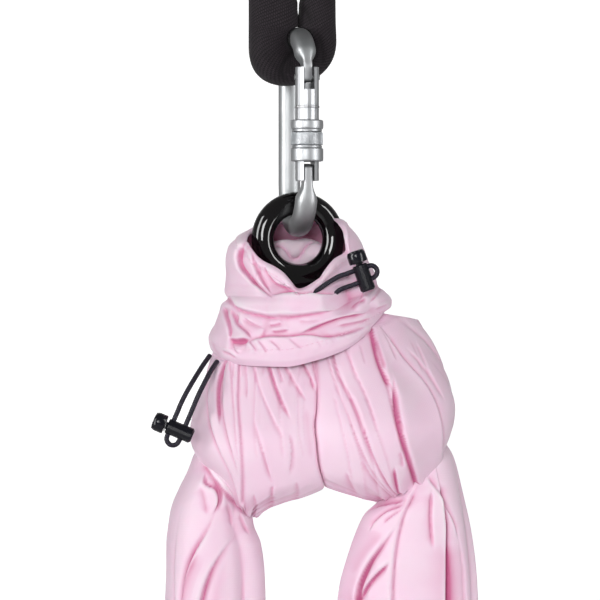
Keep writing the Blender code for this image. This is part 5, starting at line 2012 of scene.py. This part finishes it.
@dataclass
class NeckBand:
    """The silks' middle, gathered round the figure 8's neck."""

    middle: float = -320.4
    tube: float = 6.3
    half_width: float = 22.5
    half_depth: float = 12.5
    back_lift: float = 0.9
    back_grow: float = 1.7
    groove: float = 2.3
    slow_sway: float = 2.4
    quick_sway: float = 2.6
    columns: int = 120
    rows: int = 240
    strands: int = 3

    def build(self) -> None:
        """Make the band as a gathered ring of cloth."""
        a = turns(self.rows)
        outward = np.column_stack((np.sin(a), -np.cos(a), np.zeros(self.rows)))
        depth = outward[:, 1] * self.half_depth
        centres = np.column_stack((outward[:, 0] * self.half_width - 1.0, depth, self.middle + depth))
        back = settle((outward[:, 1] + 0.2) / 0.8)
        centres[:, 2] += self.back_lift * back
        grid = sweep(centres, outward, UPWARD, self.tube, self.tube + self.back_grow * back, self.columns)
        sway = self.slow_sway * np.sin(a + 0.9) + self.quick_sway * np.sin(a * 5 + 1.2)
        swirl = self.strands * turns(self.columns)[None, :] + sway[:, None]
        valley = 1 - np.abs(np.sin(swirl / 2))
        normals = grid_normals(grid, closed_rows=True)
        grid = grid - normals * (self.groove * valley ** 1.5)[..., None]
        # Painted shade in the grooves, and painted highlight over the rest of the band (the -0.3), which
        # makes up for the ring's shadow on it
        shade = 0.75 * valley ** 2 - 0.3
        mesh = grid_mesh("neck_band_cloth", grid, shade, closed_rows=True)
        obj = add_piece("neck_band_cloth", mesh, Look.SILK, "silks", "silk_neck_band")


@dataclass
class Wrap:
    """One silk folded over the large ring, gathered above and below.

    Fields: its heights with the outer, inner, front and back limit; its fold lines; heights with
    the place across where the two silks meet.
    """

    name: str
    node: str
    side: Side
    levels: Table
    creases: Rows
    split: Table = (
        (-330, 8.2), (-362, 8.1), (-378, 9), (-388, 8.7), (-397, 7.6), (-406, 8.6), (-415, 9.4), (-428, 12.4),
        (-440, 13.5),
    )
    slope_fade: float = 84.0
    slope_ease: float = 0.1
    square: float = 0.9
    shoulder: float = 0.9
    split_gap: float = 0.03
    pleats: int = 13
    pleat_depth: float = 2.6
    lean: float = 0.016
    lean_height: float = -380.0
    slack: float = 0.8
    top_hold: float = 6.0
    pull_reach: float = 20.0
    end_reach: float = 22.0
    end_rounds: int = 14
    end_shade: float = 0.24
    scallop: float = 1.5
    core: Place = (2.0, 0.0, 0.0)
    columns: int = 488
    rows: int = 200

    def section(self) -> tuple[Array, Array]:
        """Lay out the plain gathered form.

        Returns:
            Its points, and the angle of each column.
        """
        top, low = self.levels[0][0], self.levels[-1][0]
        share = np.linspace(0, 1, self.rows)
        height = top + (low - top) * (share + 0.04 * np.sin(np.pi * share) * share)
        outer, inner, front, back = even_out(height, read_table(self.levels, height))
        angle = np.linspace(0, math.tau, self.columns, endpoint=False)
        limits = np.stack((np.minimum(outer, inner), np.maximum(outer, inner), front, back))[..., None]
        x, y = oval(limits, squared(np.cos(angle), self.square), squared(np.sin(angle), self.square))
        over = 1 - (top - height) / self.slope_fade
        slope = self.slope_ease * np.logaddexp(0.0, over / self.slope_ease)
        return np.stack((x, y, height[:, None] + slope[:, None] * y), axis=-1), angle

    def split_at(self, grid: Array) -> Array:
        """How far across the two silks meet, at each point's height."""
        return read_table(self.split, grid[..., 2].reshape(-1))[0].reshape(grid.shape[:2])

    def hold_at_split(self, grid: Array) -> Array:
        """Flatten the side where the two silks meet, with a rounded shoulder.

        Args:
            grid: the wrap's points.

        Returns:
            The moved points.
        """
        out = grid.copy()
        sign = self.side.value
        split = self.split_at(grid)
        away = (grid[..., 0] - split) * sign / self.shoulder
        out[..., 0] = split + sign * (np.logaddexp(0.0, away) * self.shoulder + self.split_gap)
        return out

    def build(self, collar: Collar) -> None:
        """Make the wrap.

        Args:
            collar: the collar, which the wrap's upper end stays inside.
        """
        grid, angle = self.section()
        normals = grid_normals(grid)
        height = grid[..., 2]
        turn = angle[None, :]
        behind = settle((np.sin(turn) + 0.25) / 0.6)
        lean = self.lean * (height - self.lean_height) * self.side.value
        pleat = np.abs(np.sin(self.pleats * (turn + lean) / 2 + 0.7 * np.sin(3 * turn)))
        valley = (1 - pleat) ** 2
        slack = Wave(23 + self.side.value, 9, 0.8, 2.4).at(turn * 3.4, height / 44.0) * self.slack
        pull = settle((self.levels[0][0] - self.top_hold - height) / self.pull_reach)
        grid = grid + normals * ((slack - self.pleat_depth * valley * behind) * pull)[..., None]
        near_end = 1 - settle((height - self.levels[-1][0]) / self.end_reach)
        grid = grid + (smooth_grid(grid, self.end_rounds) - grid) * near_end[..., None]
        scallops = np.abs(np.sin(turn * 8 + 1.3 * np.sin(turn * 2))) * settle(-np.sin(turn) * 2)
        grid[..., 2] += near_end * self.scallop * scallops
        grid, shade = press_creases(self.hold_at_split(grid), self.creases)
        grid = smooth_grid(grid, 1)
        # Painted shade along the gap where the two silks meet
        shade = np.maximum(shade, 0.6 * bell((grid[..., 0] - self.split_at(grid)) / 1.3))
        shade = shade + hollow_shade(grid, 14, 0.5) + hollow_shade(grid, 60, 0.1)
        # Painted shade towards the lower end
        shade = shade + self.end_shade * near_end
        scale = np.minimum(1.0, collar.room(grid))[..., None]
        inside = self.core + (grid - self.core) * scale
        grid = np.concatenate((inside[..., :2], grid[..., 2:]), axis=-1)
        # Painted shade in the pleats round the back
        shade = np.maximum(shade, 0.55 * valley ** 2 * behind)
        mesh = grid_mesh(self.name, grid, shade)
        obj = add_piece(self.name, mesh, Look.SILK, "silks", self.node)


@dataclass
class Tail:
    """One silk's hanging end, from the wrap down to its hem.

    Fields: its heights with the left, right, front and back limit; its fold lines; its deep folds
    round the back, each with an angle in degrees, a depth, a width and a drift down the length.
    """

    name: str
    node: str
    side: Side
    levels: Table
    creases: Rows
    folds: Table
    deepest: float = 0.62
    slack: float = 0.6
    hem_lift: float = 1.5
    hem_rise: float = 0.7
    hem_wave: float = 0.4
    hem_steps: tuple[float, ...] = (0.985, 0.93, 0.8, 0.6, 0.35)
    columns: int = 380
    rows: int = 230

    def build(self) -> None:
        """Make the tail as a gathered hanging form with a folded lower end."""
        top, low = self.levels[0][0], self.levels[-1][0]
        height = np.linspace(top, low, self.rows)
        angle = np.linspace(0, math.tau, self.columns, endpoint=False)
        x, y = oval(read_table(self.levels, height)[..., None], np.cos(angle), np.sin(angle))
        grid = np.stack((x, y, np.broadcast_to(height[:, None], x.shape)), axis=-1)
        share = ((top - height) / (top - low))[:, None]
        degrees = np.degrees(angle)[None, :]
        draw = np.zeros_like(x)
        for place, depth, width, drift in self.folds:
            off = (degrees - place - drift * (share - 1) + 180.0) % 360.0 - 180.0
            draw += depth * np.exp(-np.abs(off / width) ** 1.5)
        draw = np.minimum(draw, self.deepest) * (0.35 + 0.65 * settle(share * 2.2))
        middle = grid.mean(axis=1, keepdims=True)
        grid = middle + (grid - middle) * (1 - draw)[..., None]
        slack = Wave(41 + self.side.value, 7, 0.6, 2.0).at(angle[None, :] * 2.0, height[:, None] / 40.0)
        grid = grid + grid_normals(grid) * (slack * self.slack)[..., None]
        grid, shade = press_creases(grid, self.creases)
        grid = smooth_grid(grid, 1)
        # Painted shade in the drawn-in folds
        shade = np.maximum(shade, np.clip(draw * 1.2 - 0.15, 0, 0.5))
        shade = shade + hollow_shade(grid, 16, 0.35) + hollow_shade(grid, 60, 0.1)
        hem = []
        for k, size in enumerate(self.hem_steps):
            ring = middle[-1] + (grid[-1] - middle[-1]) * size
            wave = 1 + self.hem_wave * np.sin(angle * 9 + k)
            ring[:, 2] = low + (self.hem_lift + k * self.hem_rise) * wave
            hem.append(ring)
        # Painted shade on the hem's rings, deeper at each ring as the hem turns under
        deeper = 0.25 + 0.12 * np.arange(len(hem))[:, None]
        grid = np.concatenate((grid, np.array(hem)))
        shade = np.concatenate((shade, np.broadcast_to(deeper, (len(hem), self.columns))))
        mesh = grid_mesh(self.name, grid, shade)
        obj = add_piece(self.name, mesh, Look.SILK, "silks", self.node)


LEFT_WRAP_LEVELS = (
    (-329.5, -31, 30, -24, 24), (-340, -38, 30, -30, 29), (-358, -45, 30, -38, 35),
    (-370, -49.5, 30, -42, 38.5), (-382, -54.5, 30, -44.5, 40.5), (-394, -57.5, 30, -45.5, 41),
    (-404, -58.5, 30, -45, 40.5), (-414, -55, 30, -43, 39), (-421, -48, 27, -40, 35),
    (-427, -42.5, 19, -37, 31), (-431, -39.5, 10.5, -34, 28), (-434.5, -37.3, 2, -30, 24),
    (-437, -35.6, -8, -26, 20), (-440, -33.8, -16, -20, 15), (-443.5, -31, -21.6, -13, 9),
    (-445.5, -28.4, -24, -6, 3),
)
RIGHT_WRAP_LEVELS = (
    (-329.5, 40, -14, -25, 26), (-334, 46, -14, -28, 28), (-345, 59, -14, -34, 33),
    (-353, 66, -14, -37.5, 36), (-362, 72, -14, -40.5, 38), (-374, 78, -14, -43.5, 40),
    (-384, 81.5, -14, -45, 41), (-396, 80.5, -14, -45, 41), (-406, 77, -13, -43.5, 39),
    (-416, 72.5, -10, -40, 36), (-424, 67, -2, -36, 32), (-430, 62, 14, -30, 26),
    (-435, 56, 30, -20, 17), (-437.5, 50, 40, -9, 7),
)
LEFT_WRAP_CREASES = (
    ((213, 366, 210, 390, 210, 422, 219.4, 449, 234, 475, 242.6, 504, 246, 516), 2.4, 2.2, 2.4, 0.5, 14,
     True, True),
    ((228, 360, 220, 380, 218.4, 404, 221, 430), 2.2, 1.9, -1.2, 0.65, 10, True),
    ((226, 368, 222.6, 403, 228, 435, 239, 466, 243, 490), 1.1, 1.6, 0.9, 0.35, 8, True),
    ((231, 362, 233, 403, 236.3, 445, 242.6, 487), 1, 1.6, -0.6, 0.3, 8, True),
    ((239, 362, 236.5, 401, 241, 444, 244, 508), 1.3, 1.8, -0.9, 0.35, 9, True, True),
    ((246, 363, 248, 384, 247, 402), 0.7, 2.2, 0.3, 0.25, 8, True),
    ((254, 364, 260, 388, 276, 424, 287, 444), 0.9, 2.8, 0.7, 0.14, 9, True),
    ((269, 362, 276, 386, 284.7, 407, 292, 422), 2, 2.2, 1.3, 0.6, 12, True),
    ((277, 363, 281, 376, 286, 386), 0.8, 1.8, 0.3, 0.35, 8, True),
    ((284.7, 363, 295.2, 384, 307.8, 402), 1.2, 2.4, 0.8, 0.35, 12, True),
    ((301.5, 360, 311, 376, 316, 393), 1.6, 2.2, 0.9, 0.5, 12, True),
    ((312, 360, 315, 372, 317, 384), 0.9, 1.6, 0.4, 0.4, 8, True),
    ((254, 416, 264.7, 456, 274, 487), 1.3, 3.2, 0.9, 0.2, 12),
    ((287, 430, 292, 452, 288, 478), 0.9, 3.6, -0.5, 0.14, 12),
    ((274, 484, 272, 494, 273, 503), 1.2, 1.8, 0.6, 0.4, 6, False, True),
    ((296, 480, 299, 490, 297, 500), 0.8, 2, 0.4, 0.25, 6, False, True),
    ((254, 492, 257, 503, 256, 514), 0.9, 1.8, 0.5, 0.3, 6, False, True),
    ((306, 404, 309, 436, 313, 466), 0.4, 7, 0, 0.12),
    *fan(8, 8, ((230, 360), (316, 360)), ((246, 505), (322, 488)), 9.0, (0.1, 0.24), 0.7, 0.2),
    *fan(9, 5, ((246, 380), (312, 380)), ((258, 505), (320, 480)), 6.0, (0.5, 0.9), 0.45, 0.08),
)
RIGHT_WRAP_CREASES = (
    ((333, 352, 339.4, 377, 352, 399, 362.5, 424, 373, 455, 389, 486, 405, 501), 1.7, 1.7, 1.5, 0.5, 12,
     True, True),
    ((327, 354, 335, 381, 347.8, 413, 360.4, 449, 377, 479, 401, 501), 1, 1.6, 0.7, 0.25, 10, True, True),
    ((346, 350, 357, 374, 372, 408, 380, 440), 0.8, 3, 0.5, 0.12, 12, True),
    ((371, 326, 375, 350, 381.5, 370, 390, 386, 395, 394), 2.6, 2.1, 1.4, 0.8, 12, True),
    ((376, 344, 381, 360, 386, 372), 1.2, 3.6, 0.6, 0.6, 8, True),
    ((390, 372, 394, 386, 398.3, 420, 408.8, 458, 417.3, 489), 3, 2.2, 3, 0.8, 16, False, True),
    ((394, 388, 397, 410, 404, 438), 1.8, 2.6, 0, 0.8, 6),
    ((380, 352, 389, 390, 402, 436, 410, 470), 1.2, 2.6, 0.8, 0.2, 9),
    ((390, 342, 406, 364, 424, 382, 438.3, 409.5, 442.5, 439, 438.3, 468, 420, 489), 1.8, 2, -2, 0.35,
     14, True, True),
    ((394, 464, 396, 484, 400, 496, 406, 502), 2.4, 1.9, 1.2, 0.8, 8, False, True),
    ((400.4, 450, 402.5, 458, 402.8, 468), 0.8, 2.6, 0.3, 0.35, 6),
    ((360.4, 456, 372, 478, 392, 496), 0.9, 2.6, 0.5, 0.2, 8, False, True),
    ((346, 470, 352, 486, 362, 498), 0.8, 2.4, 0.4, 0.2, 8, False, True),
    ((404, 344, 430, 372, 447, 404), 0.7, 3, 0.4, 0.14, 9),
    *fan(14, 4, ((320, 356), (366, 346)), ((350, 495), (398, 496)), -3.0, (0.12, 0.3), 0.8, 0.2),
    *fan(15, 4, ((330, 400), (366, 400)), ((345, 495), (396, 500)), -3.0, (0.98, 1.0), 0.5, 0.14),
    *fan(16, 4, ((376, 334), (426, 350)), ((402, 490), (428, 484)), -20.0, (0.15, 0.45), 0.7, 0.18),
)
LEFT_TAIL_LEVELS = (
    (-404, -50, -30, -6, 14), (-412, -56, -26, -14, 22), (-422, -60, -24, -22, 27),
    (-431, -64.5, -24, -25, 29), (-441, -68.5, -25, -27, 30), (-450, -70, -24, -28, 31),
    (-460, -71, -20, -29, 31), (-475, -71, -18, -29, 31), (-490, -71.5, -17.5, -29, 31),
    (-540, -73, -17, -30, 32), (-600, -76, -18, -32, 34),
)
RIGHT_TAIL_LEVELS = (
    (-396, 55, 66, -4, 14), (-405, 53, 75, -12, 19), (-414, 51, 81, -18, 22),
    (-426, 47, 84.5, -20, 23), (-437, 41, 87, -22, 24), (-445, 33, 89, -23, 24),
    (-455, 28.5, 91, -23, 24), (-466, 25, 92.6, -23, 23), (-480, 21.5, 94, -22, 22),
    (-490, 20, 94.5, -22, 22), (-540, 16, 95, -22, 22), (-600, 14, 96, -23, 23),
)
LEFT_TAIL_CREASES = (
    ((220, 504, 213, 520, 206, 534, 197, 549, 189.6, 567, 184.7, 590, 182, 620, 176, 680, 172, 810), 4.6,
     2.8, 3.4, 0.9, 16, False, True),
    ((203, 544, 191.5, 571, 187, 590, 184, 608, 181, 640), 0, 4.6, 0, 0.95),
    ((194, 556, 187, 580, 184, 606, 178, 680, 174, 810), 1.2, 6, 0, 0.9, 8, False, True),
    ((243, 524, 230, 541, 215, 561, 206.8, 578, 200.5, 600, 193, 660, 190, 810), 3, 4.4, -2.2, 0.45, 20,
     False, True),
    ((236, 540, 224, 566, 214, 600, 208, 680, 206, 810), 0, 12, 0, 0.22, 10, False, True),
    ((205, 470, 203.6, 483, 206.8, 485.5, 217.3, 490, 218.4, 505, 211, 515), 2.6, 2.3, -2, 0.6, 9),
    ((213, 476, 221, 486, 223, 496, 219, 510), 1.8, 2, 1.4, 0.5, 8),
    ((200, 484, 204, 498, 207, 516), 1, 4, 0, 0.3),
    ((206, 466, 219.4, 486, 232, 499, 244, 509), 2.2, 2.2, 1.6, 0.6, 9, True, True),
    ((226, 500, 232, 514, 232, 528), 1, 3, 0.6, 0.25, 8),
    ((240, 512, 243, 522, 250, 534), 1, 2.6, 0.5, 0.35, 8),
    ((184, 496, 178, 524, 175, 560, 176, 620, 174, 810), 0.5, 3.6, 0.4, 0.08, 14, False, True),
    ((246, 552, 243, 580, 246, 620, 244, 700, 247, 810), 0.9, 3.4, 0.6, 0.14, 12, False, True),
)
RIGHT_TAIL_CREASES = (
    ((402, 503, 373, 508, 362.5, 519, 358, 528), 1.7, 2.2, 0.9, 0.6, 8, True),
    ((402, 508, 386, 512.6, 375, 522, 370, 532), 1.9, 2.2, 0.9, 0.7, 8, True),
    ((402, 512, 391, 518, 384, 525), 1.4, 2, 0.6, 0.6, 8, True),
    ((404, 512, 396, 529, 381.5, 546, 366.7, 567, 356, 597, 350, 660, 347, 810), 4.2, 3, -2.6, 0.9, 16,
     False, True),
    ((384, 546, 368, 566, 357, 592, 352, 660, 349, 810), 0.8, 8, 0, 0.7, 8, False, True),
    ((393, 560, 377, 573.7, 364.6, 588, 357, 604), 3.4, 2.2, -1.8, 0.95, 10),
    ((386, 530, 366, 552, 352, 580), 0, 9, 0, 0.25),
    ((412, 496, 401, 520, 394, 552, 391, 600, 389, 810), 1.8, 2, -1.6, 0.3, 14, True, True),
    ((432, 485, 430.5, 520, 434, 552), 1.9, 3.6, 0.8, 0.45, 10),
    ((430, 482, 444.6, 504, 454, 523, 458, 540), 1.6, 2, -1.6, 0.4, 9, True),
    ((440, 492, 443, 510, 445.4, 532, 446.2, 566, 446.4, 600, 448, 660, 450, 810), 4.6, 2.8, -2.4, 0.95,
     14, True, True),
    ((446, 531, 448.2, 560, 449.6, 580, 450.6, 600, 452, 644), 0.6, 8.4, 0, 1),
    ((446, 535, 448, 570, 450, 604, 452, 660, 454, 810), 1.6, 8.4, 0, 1, 14, False, True),
    ((456, 520, 463, 556, 466, 600, 468, 680, 466, 810), 0.8, 3.2, 0.6, 0.12, 12, False, True),
)
LEFT_TAIL_FOLDS = (
    (318, 0.16, 14, 10), (20, 0.3, 12, 0), (68, 0.34, 11, 12), (112, 0.42, 12, -10), (160, 0.26, 13, 6),
)
RIGHT_TAIL_FOLDS = ((345, 0.12, 12, 0), (40, 0.34, 12, -8), (86, 0.40, 12, 12), (140, 0.32, 13, -8))


def build_silks() -> None:
    """Make the collar, the neck band, both wraps and both tails."""
    collar = Collar()
    collar.build()
    NeckBand().build()
    wraps = (
        Wrap("wrap_left_cloth", "silk_wrap_left", Side.LEFT, LEFT_WRAP_LEVELS, LEFT_WRAP_CREASES),
        Wrap("wrap_right_cloth", "silk_wrap_right", Side.RIGHT, RIGHT_WRAP_LEVELS, RIGHT_WRAP_CREASES),
    )
    for wrap in wraps:
        wrap.build(collar)
    left = (LEFT_TAIL_LEVELS, LEFT_TAIL_CREASES, LEFT_TAIL_FOLDS)
    right = (RIGHT_TAIL_LEVELS, RIGHT_TAIL_CREASES, RIGHT_TAIL_FOLDS)
    Tail("tail_left_cloth", "left_tail", Side.LEFT, *left).build()
    Tail("tail_right_cloth", "right_tail", Side.RIGHT, *right).build()


def main() -> None:
    """Build the whole scene in order."""
    logging.basicConfig(level=logging.INFO, format="%(name)s: %(message)s")
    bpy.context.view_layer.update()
    Studio().build()
    locks = ("barrel", "plunger", "spring")
    for side, route in (("upper", UPPER_CORD_ROUTE), ("lower", LOWER_CORD_ROUTE)):
        pieces = tuple(f"{side}_lock_{part}" for part in locks)
        Drawcord(f"{side}_cord", f"{side}_drawcord", route, pieces).build()
    dress_hardware()
    for head in LOCK_HEADS:
        head.build()
    Sling().build()
    Carabiner().build()
    ScrewSleeve().build()
    FigureEight().build()
    build_silks()


if __name__ == "__main__":
    main()
